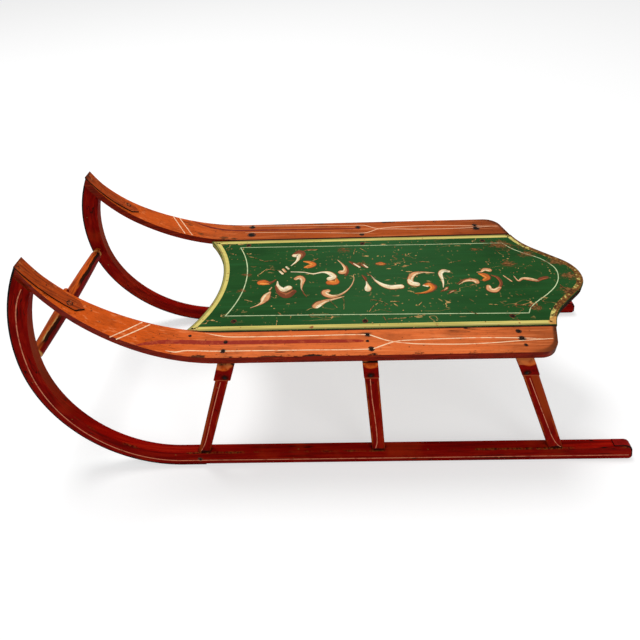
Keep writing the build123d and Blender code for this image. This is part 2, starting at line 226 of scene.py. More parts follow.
class Finish:
    """One material, built by expressions on Value objects."""

    def __init__(self, name):
        self.material = bpy.data.materials.new(name)
        self.material.use_nodes = True
        self.tree = self.material.node_tree
        self.tree.nodes.clear()
        self.place = self.node("ShaderNodeTexCoord", {}, {}, "Object")
        self.x, self.y, self.z = self.parts(self.place)
        self.across = abs(self.y)
        facing = self.node("ShaderNodeNewGeometry", {}, {}, "Normal")
        self.facing_x, self.facing_y, self.facing_z = self.parts(facing)

    def node(self, kind, settings, inputs, outlet=0):
        """A node of that kind, with its settings made first and then its sockets filled or linked."""
        made = self.tree.nodes.new(kind)
        for key, value in settings.items():
            setattr(made, key, value)
        for key, value in inputs.items():
            if isinstance(value, Value):
                self.tree.links.new(value.socket, made.inputs[key])
            else:
                made.inputs[key].default_value = value
        return Value(self, made.outputs[outlet]) if made.outputs else None

    def parts(self, vector):
        return [self.node("ShaderNodeSeparateXYZ", {}, {0: vector}, outlet) for outlet in range(3)]

    def behind(self, low, high):
        """1 towards the rear, rising from low to high behind the middle of the sled."""
        return (self.x * -1).above(low, high)

    def rightward(self, low, high):
        """1 towards the right side, rising from low to high beyond the middle of the sled."""
        return (self.y * -1).above(low, high)

    def stretched(self, vector, *factors):
        """The vector with its three directions scaled, to draw a pattern out along the grain."""
        return self.node("ShaderNodeVectorMath", {"operation": "MULTIPLY"}, {0: vector, 1: factors})

    def scaled(self, *factors):
        """The place on the sled, stretched."""
        return self.stretched(self.place, *factors)

    def turned(self, angle, *factors):
        """The place on the sled, turned about the vertical and stretched."""
        inputs = {"Vector": self.place, "Angle": angle}
        spun = self.node("ShaderNodeVectorRotate", {"rotation_type": "Z_AXIS"}, inputs)
        return self.stretched(spun, *factors)

    def clouds(self, vector, scale, detail=3.0, roughness=0.55):
        inputs = {"Vector": vector, "Scale": scale, "Detail": detail, "Roughness": roughness}
        return self.node("ShaderNodeTexNoise", {}, inputs)

    def mottle(self, scale, detail=3.0, roughness=0.55):
        """Clouds that are alike in all directions."""
        return self.clouds(self.place, scale, detail, roughness)

    def cracks(self, vector, scale, detail, low, high):
        """Thin lines, where clouds pass through their middle value."""
        return abs(self.clouds(vector, scale, detail) - 0.5).below(low, high)

    def spots(self, vector, scale, size, share):
        """Separate spots: size is their reach within each cell, share is how many cells have one."""
        settings = {"voronoi_dimensions": "3D", "feature": "F1"}
        inputs = {"Vector": vector, "Scale": scale, "Randomness": 1.0}
        distance = self.node("ShaderNodeTexVoronoi", settings, inputs, "Distance")
        chance = self.parts(self.node("ShaderNodeTexVoronoi", settings, inputs, "Color"))[0]
        return distance.below(size * 0.6, size) * (chance < share)

    def mix(self, first, second, factor):
        """first where factor is 0, second where it is 1."""
        inputs = {0: factor, MIX_FIRST: self.full(first), MIX_SECOND: self.full(second)}
        return self.node("ShaderNodeMix", {"data_type": "RGBA"}, inputs, MIX_RESULT)

    @staticmethod
    def full(colour):
        return colour if isinstance(colour, Value) else (*colour[:3], 1.0)

    def shade(self, colour, factor, depth):
        """The colour darkened by up to depth where factor is 1."""
        return self.mix(colour, self.deeper(colour, 1 - depth), factor)

    def deeper(self, colour, share):
        """The colour times a share, which over 1 makes it lighter."""
        if isinstance(colour, Value):
            settings = {"data_type": "RGBA", "blend_type": "MULTIPLY"}
            inputs = {0: 1.0, MIX_FIRST: colour, MIX_SECOND: (share, share, share, 1.0)}
            return self.node("ShaderNodeMix", settings, inputs, MIX_RESULT)
        return [part * share for part in colour[:3]]

    def arris(self):
        """1 along the rounded edges between a side and a top, by the way the surface faces."""
        flat = (1 - self.facing_y * self.facing_y) ** 0.5
        return (abs(self.facing_y) * flat * 2).above(0.5, 0.92)

    def ragged(self, vector, amount, scale):
        """A vector moved about by small clouds, to break up clean edges."""
        inputs = {"Vector": self.place, "Scale": scale, "Detail": 3.0}
        cloud = self.node("ShaderNodeTexNoise", {}, inputs, "Color")
        inputs = {0: cloud, 1: (amount, amount, amount), 2: vector}
        return self.node("ShaderNodeVectorMath", {"operation": "MULTIPLY_ADD"}, inputs)

    def near(self, marks, stretch=1.6):
        """1 at marks of x, y and reach in millimetres, falling to 0 at their reach."""
        nearest = None
        for x, y, reach in marks:
            side = (self.x - x * MM) / stretch
            up = self.y - y * MM
            fall = ((side * side + up * up) ** 0.5).below(0.0, reach * MM)
            nearest = fall if nearest is None else nearest.either(fall)
        return nearest

    def scuffs(self):
        """Chips and scratches on the deck, the same for every paint that lies there."""
        rough = self.ragged(self.place, 0.006, 160.0)
        crowd = self.mottle(8.0).above(0.34, 0.64)
        specks = self.spots(rough, 190.0, 0.3, 0.24) * crowd
        dashes = self.spots(self.stretched(rough, 0.22, 1.0, 1.0), 140.0, 0.22, 0.3)
        slants = self.spots(self.turned(0.9, 0.25, 1.0, 1.0), 120.0, 0.17, 0.1) * crowd
        lines = self.cracks(self.scaled(0.5, 1.0, 1.0), 26.0, 2.0, 0.0015, 0.0045)
        lines = lines * self.mottle(17.0, 1.0).above(0.55, 0.63)
        wear = self.clouds(self.scaled(0.6, 1.0, 1.0), 170.0, 6.0, 0.85)
        worn = (self.near(DECK_SMUDGES) * 0.26 + wear).above(0.66, 0.74)
        tail = (self.behind(0.335, 0.38) * 0.2 + self.mottle(120.0, 5.0, 0.75)).above(0.64, 0.7)
        tail = tail * self.behind(0.32, 0.35)
        return specks.either(dashes * crowd).either(slants).either(lines).either(worn * 0.75).either(tail)

    def bare(self):
        """Wood laid open by chips: tan where fresh, brown where old."""
        old = self.mottle(55.0).above(0.42, 0.62).either(self.near(DECK_SMUDGES).above(0.0, 0.3))
        worn = self.mix(tint(108, 62, 34), tint(156, 98, 58), self.mottle(260.0).above(0.45, 0.6))
        return self.mix(colours().bare_wood, worn, old)

    def along_runner(self):
        """The place on a runner as the way along its bow, the height above its sole line and y."""
        ahead = self.x - (FRONT_X - BOW_LOW_RADIUS) * MM
        drop = BOW_LOW_RADIUS * MM - self.z
        back = self.x - (FRONT_X - BOW_HIGH_RADIUS) * MM
        low = BOW_LOW_RADIUS * MM - (ahead * ahead + drop * drop) ** 0.5
        high = BOW_HIGH_RADIUS * MM - (back * back + drop * drop) ** 0.5
        upper = drop < 0
        lift = low * (1 - upper) + high * upper
        bent = ahead > 0
        turned = drop.maths("ARCTAN2", ahead, drop) * (BOW_LOW_RADIUS * MM)
        return self.node("ShaderNodeCombineXYZ", {}, {
            0: ahead * (1 - bent) + turned * bent,
            1: self.y,
            2: self.z * (1 - bent) + lift * bent,
        })

    def surface(self, colour, roughness, relief=None, relief_depth=0.0004, metallic=0.0, specular=0.1):
        """Ends the finish with its shader and gives the material."""
        inputs = {
            "Base Color": self.full(colour),
            "Roughness": roughness,
            "Metallic": metallic,
            "Specular IOR Level": specular,
        }
        if relief is not None:
            bump = {"Height": relief, "Distance": relief_depth, "Strength": 1.0}
            inputs["Normal"] = self.node("ShaderNodeBump", {}, bump)
        shader = self.node("ShaderNodeBsdfPrincipled", {}, inputs)
        self.node("ShaderNodeOutputMaterial", {}, {0: shader})
        return self.material


def colours():
    return bpy.context.scene.sled_colours


def sizes():
    return bpy.context.scene.sled_sizes


def once(maker):
    """Keeps what a finish maker made, so that pieces share one material."""
    made = {}

    def keep(*key):
        if key not in made:
            made[key] = maker(*key)
        return made[key]

    return keep


@once
def deck_finish():
    """Green field paint with scuffs down to wood; the board's edges and worn tail show yellow and wood."""
    finish = Finish("deck_green_paint")
    broad = finish.clouds(finish.scaled(1, 3, 3), 11.0, 4.0).above(0.35, 0.75)
    green = finish.shade(colours().deck_green, broad, 0.3)
    lights = finish.clouds(finish.scaled(2, 90, 90), 2.0).above(0.52, 0.8)
    green = finish.mix(green, tint(40, 96, 50), lights * 0.5)
    green = finish.mix(green, tint(50, 96, 54), abs(finish.x + 0.05).below(0.0, 0.22) * 0.4)
    scuffs = finish.scuffs()
    top = finish.mix(green, finish.bare(), scuffs)
    edge = finish.deeper(colours().border_yellow, 0.55)
    edge = finish.mix(edge, tint(44, 22, 9), finish.behind(0.26, 0.3))
    edge = finish.shade(edge, finish.clouds(finish.scaled(20, 20, 90), 2.0).above(0.4, 0.6), 0.6)
    level = finish.facing_z.above(0.5, 0.8)
    colour = finish.mix(edge, top, level)
    relief = finish.clouds(finish.scaled(4, 60, 60), 3.0) * 0.25 - scuffs
    return finish.surface(colour, 0.85 - level * 0.43 + scuffs * 0.3, relief, 0.0003, specular=0.03)


@once
def border_finish(rim):
    """Olive yellow edging, darker on its outer rim, and worn to brown wood round the tail."""
    finish = Finish("border_rim_paint" if rim else "border_yellow_paint")
    sides = finish.across.above(0.1154, 0.1156)
    streaks = finish.clouds(finish.scaled(3, 60, 60), 3.0).above(0.4, 0.65)
    tone = finish.deeper(colours().border_yellow, 0.52 if rim else 1.0)
    yellow = finish.mix(tone, tint(150, 138, 58), streaks * (0.2 + sides * 0.4))
    lights = finish.clouds(finish.scaled(3, 75, 75), 2.3).above(0.58, 0.7)
    yellow = finish.mix(yellow, tint(226, 214, 146), lights * sides * (0.3 if rim else 0.6))
    rough = finish.ragged(finish.place, 0.006, 160.0)
    crowd = finish.mottle(12.0).above(0.4, 0.62).either(finish.x.above(0.195, 0.2) * 0.8)
    flecks = finish.spots(rough, 190.0, 0.32, 0.3) * crowd
    mottle = finish.mottle(150.0, 6.0, 0.8)
    smudge = (finish.mottle(90.0, 6.0, 0.75) + finish.near(BORDER_SMUDGES, 1.0) * 0.2).above(0.64, 0.72)
    tail = finish.behind(0.27, 0.3) if rim else finish.behind(0.272, 0.32)
    gone = (mottle + tail * (0.26 if rim else 0.2) - 0.12).above(0.46, 0.54) * tail.above(0.0, 0.3)
    brown = finish.mix(tint(116, 72, 28), tint(56, 30, 12), mottle.above(0.48, 0.62))
    brown = finish.mix(brown, tint(190, 146, 70), mottle.below(0.38, 0.45) * (0.5 if rim else 0.9))
    colour = finish.mix(yellow, tint(146, 88, 44), smudge.either(flecks))
    colour = finish.mix(colour, brown, gone)
    corner = (finish.near(BARE_CORNER, 1.0) + mottle * 0.5).above(0.55, 0.75)
    colour = finish.mix(colour, tint(204, 146, 74), corner * 0.85)
    return finish.surface(colour, 0.45 + gone * 0.3, mottle * 0.4 - gone, 0.0003)


@once
def stroke_finish(paint):
    """One brush colour of the scrollwork or the lines, flecked where the deck is scuffed."""
    finish = Finish(f"{paint}_brush_paint")
    colour = getattr(colours(), paint)
    body = finish.shade(colour, finish.mottle(110.0, 4.0).above(0.42, 0.7), 0.3)
    thin = finish.mottle(75.0, 4.0, 0.7).above(0.56, 0.68) * 0.5
    body = finish.mix(body, colours().deck_green, thin)
    gone = finish.scuffs()
    return finish.surface(finish.mix(body, finish.bare(), gone * 0.8), 0.42, thin, 0.0001)


@once
def rail_finish():
    """Orange tops over deep red edges, with grain, dark checks, grime and worn arrises; painted shade darkens
    the right rail and the gap along the deck.
    """
    finish = Finish("rail_orange_paint")
    front = finish.x.above(0.16, 0.3)
    orange = finish.mix(colours().rail_orange, tint(204, 84, 20), front)
    # Painted shade: the right rail is painted a deeper orange, less so at its front
    orange = finish.mix(orange, tint(167, 74, 24), finish.rightward(0.0, 0.1) * (1 - front * 0.85))
    orange = finish.shade(orange, finish.behind(0.16, 0.27), 0.38)
    grain = finish.clouds(finish.scaled(4, 80, 80), 3.2, 6.0, 0.7)
    orange = finish.shade(orange, grain.above(0.45, 0.7), 0.28)
    fine = finish.clouds(finish.scaled(1, 1.6, 1), 130.0, 6.0, 0.8)
    orange = finish.shade(orange, fine.above(0.5, 0.72), 0.34)
    lights = finish.clouds(finish.scaled(5, 130, 90), 2.1).above(0.56, 0.7)
    orange = finish.mix(orange, tint(236, 140, 84), lights * 0.5)
    broad = finish.clouds(finish.scaled(1, 2.5, 1), 18.0, 5.0)
    orange = finish.shade(orange, broad.above(0.5, 0.72), 0.3)
    checks = finish.cracks(finish.scaled(0.45, 9, 9), 6.0, 3.0, 0.002, 0.006)
    checks = checks * finish.mottle(13.0).above(0.54, 0.62)
    rough = finish.ragged(finish.place, 0.005, 140.0)
    pits = finish.spots(rough, 150.0, 0.2, 0.18)
    edge = finish.clouds(finish.scaled(1, 2, 1), 30.0, 6.0, 0.75)
    rim = finish.across.above(0.168, 0.181) * 0.2 + finish.near(RAIL_CHIPS, 2.2) * 0.14
    rim = (rim + edge).above(0.72, 0.78)
    heel = (finish.behind(0.27, 0.293) * 0.3 + edge).above(0.66, 0.76)
    # Painted shadow: a near-black line along the rail's inner edge, in the gap beside the deck's border
    deck_gap_shadow = finish.across.below(0.1268, 0.1284) * finish.x.below(0.21, 0.25) * edge.above(0.28, 0.38)
    corner = RAIL_END_ROUND * MM
    # How far a place lies inside the slanted and rounded rear end
    slant = (finish.across - (rail_high.y - RAIL_WIDTH) * MM) * RAIL_END_SLOPE
    from_end = (corner - (finish.x - rail_low.x * MM - slant)).either(0)
    from_side = (corner - (rail_high.y * MM - finish.across)).either(0)
    rounded = corner - (from_end * from_end + from_side * from_side) ** 0.5
    butt = rounded.below(0.003, 0.0075) * finish.behind(0.23, 0.275) * edge.above(0.26, 0.42)
    dark = checks.either(pits * 0.7).either(rim).either(heel * 0.8).either(butt * 0.9)
    old = finish.mix(tint(92, 44, 18), tint(40, 19, 10), edge.above(0.5, 0.6))
    orange = finish.mix(orange, old, dark)
    smudge = (finish.near(RIGHT_RAIL_SMUDGES, 1.6) * 0.3 + edge).above(0.68, 0.8)
    orange = finish.mix(orange, tint(62, 40, 14), smudge * 0.8)
    orange = finish.mix(orange, tint(24, 12, 8), deck_gap_shadow)
    red = finish.mix(colours().frame_red, tint(118, 34, 4), 0.5)
    red = finish.shade(red, finish.clouds(finish.scaled(5, 5, 30), 8.0, 4.0).above(0.4, 0.7), 0.5)
    rubbed = finish.clouds(finish.scaled(3, 3, 60), 7.0).above(0.6, 0.72)
    red = finish.mix(red, tint(160, 62, 24), rubbed * 0.5)
    red = finish.mix(red, tint(60, 36, 16), (finish.facing_x * -1).above(0.3, 0.7) * 0.8)
    colour = finish.mix(red, orange, finish.facing_z.above(0.3, 0.42))
    colour = finish.mix(colour, tint(24, 12, 8), deck_gap_shadow * finish.facing_z.above(0.1, 0.3))
    worn = finish.arris() * finish.across.above(0.14, 0.15) * finish.mottle(30.0, 4.0).above(0.4, 0.6)
    colour = finish.mix(colour, tint(230, 150, 100), worn * (1 - butt) * 0.7)
    grit = finish.mottle(420.0, 2.0)
    return finish.surface(colour, 0.42 + grain * 0.15, grain * 0.8 + grit * 0.4 - dark, 0.0004, specular=0.05)


@once
def frame_finish(kind):
    """Deep red over hardwood, with a painted highlight on faces that look up and painted shadow black in the
    corners, and rubbed to orange brown along the arrises.
    """
    finish = Finish(f"frame_red_{kind}")
    if kind == "runner":
        lie = finish.along_runner()
        grain = finish.clouds(finish.stretched(lie, 3, 50, 50), 4.0, 5.0, 0.65)
        cracks = finish.cracks(finish.stretched(lie, 0.6, 9, 9), 5.0, 3.0, 0.003, 0.009)
        streaks = finish.clouds(finish.stretched(lie, 2.2, 34, 34), 5.0, 4.0, 0.7).above(0.6, 0.67)
        cracks = cracks.either(streaks * finish.mottle(8.0, 2.0).above(0.46, 0.56))
    else:
        grain = finish.clouds(finish.scaled(22, 22, 3), 4.0, 5.0, 0.65)
        cracks = finish.cracks(finish.scaled(12, 12, 0.8), 5.0, 3.0, 0.001, 0.004)
    cracks = cracks * finish.mottle(11.0).above(0.46, 0.56)
    red = finish.shade(colours().frame_red, grain.above(0.46, 0.66), 0.42 if kind == "runner" else 0.3)
    red = finish.mix(red, tint(146, 26, 6), grain.below(0.36, 0.48) * 0.5)
    red = finish.mix(red, tint(158, 44, 12), finish.mottle(14.0, 3.0).above(0.5, 0.72) * 0.4)
    # Painted highlight: faces that look up are painted lighter
    up = finish.facing_z.above(0.5, 0.9)
    red = finish.mix(red, finish.deeper(red, 1.3), up)
    soot = finish.clouds(finish.scaled(0.6, 1, 1), 42.0, 6.0, 0.75).above(0.66, 0.72)
    # Painted shadow: black in the corners where the posts stand on the runner
    corners = finish.near([(x, y, 17) for x in POST_FEET for y in (RUNNER_OUT - 10, 10 - RUNNER_OUT)], 1.3)
    corners = corners * finish.z.above(0.024, 0.0262) * finish.z.below(0.0285, 0.036)
    # Dark: real soot and cracks, and the painted shadow in the corners
    dark = soot.either(cracks).either((corners + grain * 0.4).above(0.5, 0.85))
    red = finish.mix(red, tint(22, 8, 5), dark * 0.9)
    worn = finish.arris() * finish.mottle(26.0, 5.0, 0.65).above(0.44, 0.6)
    worn = worn * (0.55 if kind == "runner" else finish.z.above(0.035, 0.05) * 0.65)
    colour = finish.mix(red, tint(178, 84, 34), worn)
    if kind == "runner":
        # Painted light: the bow's inner face, looking back and up, is painted lighter brown where it would
        # catch the light
        inner = (finish.facing_x * -1 - finish.y.above(0.0, 0.01) * 0.35).above(0.25, 0.6)
        inner = inner * finish.facing_z.above(-0.45, -0.15)
        inner = inner * finish.z.above(0.08, 0.24)
        colour = finish.mix(colour, tint(140, 60, 30), inner * (0.35 + grain * 0.5))
        height = finish.parts(lie)[2]
        # Bare wood along the upper outer arris
        deep = RUNNER_OUT * MM - (finish.across + finish.z * SPLAY)
        arris = (POST_LOW * MM - height).either(deep).below(0.001, 0.0045)
        rub = (arris * 0.22 + finish.mottle(75.0, 5.0, 0.75)).above(0.64, 0.7)
        rub = rub * arris * finish.mottle(9.0, 2.0).above(0.46, 0.56)
        grit = finish.mottle(260.0, 3.0).above(0.46, 0.56)
        colour = finish.mix(colour, finish.mix(tint(122, 62, 22), tint(38, 10, 6), grit), rub * 0.85)
    else:
        # Orange brown on the front and back faces, broken by the grain, and painted light on the front post's
        # forward half and the rear post's rear half, standing for rounded corners that catch the light
        edge = abs(finish.facing_x).above(0.5, 0.9) * grain.above(0.35, 0.6)
        for row, way, start in (("front", 1, 0.0048), ("rear", -1, -0.0012)):
            foot, top = post_middle(row, "left")
            rake = (top - foot) / (POST_HIGH - POST_LOW)
            aside = (finish.x - (finish.z - POST_LOW * MM) * rake - foot * MM) * way
            half = aside.above(start, start + 0.0012) * aside.below(0.02, 0.021)
            edge = edge.either(half * (finish.z.above(0.06, 0.13) if row == "rear" else 1))
        colour = finish.mix(colour, tint(146, 56, 18), edge * (0.5 + grain * 0.45))
    flecks = finish.spots(finish.ragged(finish.place, 0.005, 150.0), 130.0, 0.2, 0.06)
    colour = finish.mix(colour, tint(128, 76, 36), flecks)
    relief = grain + finish.mottle(380.0, 2.0) * 0.3 - dark * 0.6
    return finish.surface(colour, 0.44 + grain * 0.2, relief, 0.00035, specular=0.012)


@once
def bench_finish():
    """Bench ends: deep red, a painted highlight in a crescent under the rail for the lit top of the end, and
    a painted shadow line above it.
    """
    finish = Finish("bench_red_paint")
    grain = finish.clouds(finish.scaled(40, 6, 40), 4.0, 5.0, 0.65)
    red = finish.shade(colours().frame_red, grain.above(0.42, 0.68), 0.5)
    aside = None
    for row in ROWS:
        low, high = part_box(f"bench_{row}")
        offset = abs(finish.x - (low.x + high.x) / 2)
        aside = aside.maths("MINIMUM", aside, offset) if aside else offset
    end = finish.across.above(0.172, 0.174)
    # The crescent's edge rises away from the middle of the bench's end
    curve = finish.z - aside * aside * 45 + (grain - 0.5) * 0.004
    # Painted highlight: an orange crescent, brightest near its top, stands for the lit top of the bench's end
    crescent = curve.above(0.208, 0.2115) * end
    colour = finish.mix(red, tint(150, 50, 14), crescent)
    bright = crescent * curve.below(0.2125, 0.216) * grain.below(0.5, 0.72)
    colour = finish.mix(colour, tint(204, 88, 28), bright * 0.85)
    # Painted shadow: a near-black line right under the rail
    colour = finish.mix(colour, tint(20, 8, 5), finish.z.above(0.2165, 0.218))
    below = finish.z - 0.1962
    reach = (aside * aside + below * below) ** 0.5 + (grain - 0.5) * 0.008
    colour = finish.mix(colour, tint(28, 9, 5), reach.below(0.0035, 0.0075) * end * 0.85)
    colour = finish.mix(colour, tint(170, 84, 48), finish.z.below(0.1905, 0.1925) * 0.6)
    worn = finish.arris() * finish.mottle(40.0, 4.0).above(0.42, 0.58)
    colour = finish.mix(colour, tint(196, 108, 56), worn * 0.7)
    return finish.surface(colour, 0.45 + grain * 0.2, grain, 0.0003, specular=0.012)


@once
def line_finish(paint, ground, wear):
    """A fine striper's line, thin enough in places for the ground to show; on the right rail the white is
    thinner behind the front and the red band is darker with painted shade.
    """
    finish = Finish(f"{paint}_line_paint")
    thin = finish.mottle(95.0, 5.0, 0.7).above(0.48, 0.66)
    right = finish.rightward(0.0, 0.1)
    if paint == "stripe_white":
        thin = thin.either(right * finish.x.below(0.2, 0.27) * 0.6)
    colour = finish.mix(getattr(colours(), paint), getattr(colours(), ground), thin * wear)
    # Painted shade: the red band is darker on the right rail
    if paint == "band_red":
        colour = finish.shade(colour, right, 0.45)
    return finish.surface(colour, 0.42, thin, 0.0001)


def rusted(finish):
    """Black iron under thin rust: the rust's clouds, and the colour."""
    rust = finish.mottle(70.0, 6.0, 0.7)
    return rust, finish.mix(colours().iron, tint(70, 34, 18), rust.above(0.54, 0.7) * 0.7)


@once
def iron_finish():
    """Blackened iron: a rusty bow strip, and burnt orange paint left on the straps at the tips."""
    finish = Finish("black_iron")
    rust, metal = rusted(finish)
    strap = (finish.facing_x * -1).above(0.15, 0.3) * finish.facing_z.above(0.1, 0.3)
    strap = strap.either(finish.facing_z.above(0.4, 0.55) * finish.z.above(0.33, 0.34))
    grain = finish.clouds(finish.scaled(8, 90, 8), 5.0, 5.0, 0.7)
    paint = finish.mix(tint(172, 66, 9), tint(104, 36, 6), grain.above(0.42, 0.66))
    paint = finish.mix(paint, tint(206, 120, 62), rust.below(0.34, 0.42) * 0.6)
    chips = finish.spots(finish.ragged(finish.place, 0.004, 160.0), 220.0, 0.3, 0.16)
    paint = finish.mix(paint, tint(40, 18, 10), chips)
    paint = finish.mix(paint, tint(34, 16, 10), (finish.z + rust * 0.02).above(0.366, 0.376) * 0.8)
    colour = finish.mix(metal, paint, strap)
    relief = rust + finish.mottle(500.0, 2.0) * 0.4
    metallic = (1 - strap) * rust.below(0.5, 0.68) * 0.6
    return finish.surface(colour, 0.5 + rust * 0.25, relief, 0.0005, metallic, 0.1)


@once
def shoe_finish():
    """The runner shoes: bare black iron, painted over with the frame's red where they lap the heels."""
    finish = Finish("shoe_iron")
    rust, metal = rusted(finish)
    # Painted highlight: the red on the shoes' tops is painted lighter, like the runners' tops
    red = finish.shade(finish.deeper(colours().frame_red, 1.25), rust.above(0.4, 0.62), 0.4)
    painted = finish.facing_z.above(0.55, 0.85)
    colour = finish.mix(metal, red, painted)
    return finish.surface(colour, 0.5 + rust * 0.25, rust, 0.0004, (1 - painted) * 0.4, 0.05)


@once
def bar_finish():
    """The crossbar: orange above, a dark groove that a rope has rubbed along the back, red below."""
    finish = Finish("crossbar_paint")
    around = finish.x.maths("ARCTAN2", finish.facing_z, finish.facing_x)
    wobble = (finish.clouds(finish.scaled(1, 3, 1), 14.0, 4.0) - 0.5) * 0.7
    around = around + wobble
    left_rub = finish.y.above(0.03, 0.075) * finish.y.below(0.105, 0.125)
    right_rub = finish.rightward(0.0, 0.06) * (finish.y * -1).below(0.128, 0.142)
    rub = left_rub.either(right_rub)
    grain = finish.clouds(finish.scaled(60, 5, 60), 4.0, 5.0, 0.65)
    orange = finish.mix(tint(196, 84, 24), tint(132, 50, 13), grain.above(0.4, 0.64))
    orange = finish.shade(orange, finish.y.above(0.0, 0.05), 0.3)
    under = finish.mix(colours().frame_red, tint(84, 10, 5), grain.above(0.45, 0.6))
    colour = finish.mix(orange, under, around.above(2.35, 2.6).either(around.below(0.3, 0.7)))
    groove = around.above(2.05, 2.2) * around.below(2.55, 2.75) * rub
    colour = finish.mix(colour, tint(26, 11, 5), groove.above(0.15, 0.75) * 0.95)
    tan = around.above(1.85, 1.95) * around.below(2.05, 2.15) * rub * left_rub
    colour = finish.mix(colour, tint(176, 146, 88), tan * grain.above(0.4, 0.5))
    ring = finish.across.above(0.131, 0.134) * finish.across.below(0.138, 0.142)
    colour = finish.mix(colour, tint(206, 150, 78), ring * finish.mottle(60.0).above(0.35, 0.55))
    return finish.surface(colour, 0.4 + grain * 0.15, grain - groove, 0.0004, specular=0.03)


@once
def scratch_finish():
    """Fresh wood along a scratch, broken where the paint still holds."""
    finish = Finish("scratched_wood")
    broken = finish.mottle(210.0, 4.0, 0.7).above(0.5, 0.58)
    return finish.surface(finish.mix(finish.bare(), colours().deck_green, broken), 0.6, broken, 0.0002)


# Small ironwork: its two tints, the clouds that part them as a scale, a low and a high, and then roughness,
# depth of relief and metal
IRONWORK = {
    "nail_iron": (tint(20, 16, 12), tint(72, 40, 22), (240.0, 0.5, 0.66), 0.6, 0.0006, 0.55),
    "screw_iron": (tint(128, 52, 20), tint(182, 108, 62), (260.0, 0.5, 0.6), 0.5, 0.0004, 0.3),
    "iron_stain": (tint(58, 30, 16), tint(120, 56, 28), (300.0, 0.42, 0.62), 0.6, 0.0003, 0.0),
}


@once
def ironwork_finish(name):
    """Nail heads black with rust, screws painted over and rubbed bright, or old paint stained by iron."""
    finish = Finish(name)
    first, second, (scale, low, high), roughness, depth, metallic = IRONWORK[name]
    mottle = finish.mottle(scale, 4.0, 0.7)
    colour = finish.mix(first, second, mottle.above(low, high))
    return finish.surface(colour, roughness, mottle, depth, metallic)


# ---- Shapes ----


class Bend:
    """A side-view line of straights and arcs that rise to the left of its heading, in millimetres."""

    def __init__(self, start, heading, stretches):
        self.stretches = []
        x, z = start
        for length, radius in stretches:
            self.stretches.append((x, z, heading, length, radius))
            if radius:
                turned = heading + length / radius
                x += radius * (math.sin(turned) - math.sin(heading))
                z -= radius * (math.cos(turned) - math.cos(heading))
                heading = turned
            else:
                x, z = x + length * math.cos(heading), z + length * math.sin(heading)
        self.length = sum(stretch[3] for stretch in self.stretches)

    def at(self, along, lift=0.0):
        """The point that far along, raised by lift to the line's left, and the left direction."""
        for x, z, heading, length, radius in self.stretches:
            if along <= length or (x, z, heading, length, radius) == self.stretches[-1]:
                break
            along -= length
        if radius:
            turned = heading + along / radius
            x += radius * (math.sin(turned) - math.sin(heading))
            z -= radius * (math.cos(turned) - math.cos(heading))
        else:
            turned = heading
            x, z = x + along * math.cos(heading), z + along * math.sin(heading)
        left = (-math.sin(turned), math.cos(turned))
        return x + left[0] * lift, z + left[1] * lift, left

    def along_at(self, wanted_x):
        """How far along the line reaches that x, for a line that only goes forward."""
        low, high = 0.0, self.length
        for _ in range(40):
            middle = (low + high) / 2
            low, high = (middle, high) if self.at(middle)[0] < wanted_x else (low, middle)
        return low


rail_line = Bend(*RAIL_LINE)


def runner_line(hand):
    """The line of a runner's sole, from its heel up the front of its bow."""
    start_x = RUNNER_STARTS[hand]
    bow_x = FRONT_X - BOW_LOW_RADIUS
    quarter = BOW_LOW_RADIUS * math.pi / 2
    stretches = ((bow_x - start_x, 0.0), (quarter, BOW_LOW_RADIUS), (BOW_HIGH_LENGTH, BOW_HIGH_RADIUS))
    return Bend((start_x, 0.0), 0.0, stretches)


class Skin:
    """Points and faces of one piece, gathered in millimetres and made into a mesh in metres."""

    def __init__(self):
        self.points = []
        self.faces = []

    def wrap(self, rings, closed=False):
        """A skin through rings of as many points each: a loop of rings, or capped at both ends."""
        size = len(rings[0])
        first = len(self.points)
        for ring in rings:
            self.points.extend(ring)
        count = len(rings) if closed else len(rings) - 1
        for i in range(count):
            low, high = first + i * size, first + (i + 1) % len(rings) * size
            for j in range(size):
                k = (j + 1) % size
                self.faces.append((low + j, low + k, high + k, high + j))
        if not closed:
            self.faces.append(tuple(range(first, first + size)))
            self.faces.append(tuple(range(first + (len(rings) - 1) * size, first + len(rings) * size)))

    def piece(self, name, material, slot, crease=40.0):
        """The finished object, riding on the sled's one body."""
        mesh = bpy.data.meshes.new(name)
        mesh.from_pydata([[part * MM for part in point] for point in self.points], [], self.faces)
        shape = bmesh.new()
        shape.from_mesh(mesh)
        bmesh.ops.remove_doubles(shape, verts=shape.verts, dist=0.01 * MM)
        bmesh.ops.recalc_face_normals(shape, faces=shape.faces)
        shape.to_mesh(mesh)
        shape.free()
        mesh.polygons.foreach_set("use_smooth", [True] * len(mesh.polygons))
        mesh.set_sharp_from_angle(angle=math.radians(crease))
        mesh.materials.append(material)
        made = bpy.data.objects.new(name, mesh)
        bpy.context.collection.objects.link(made)
        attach(made, "root")
        return made


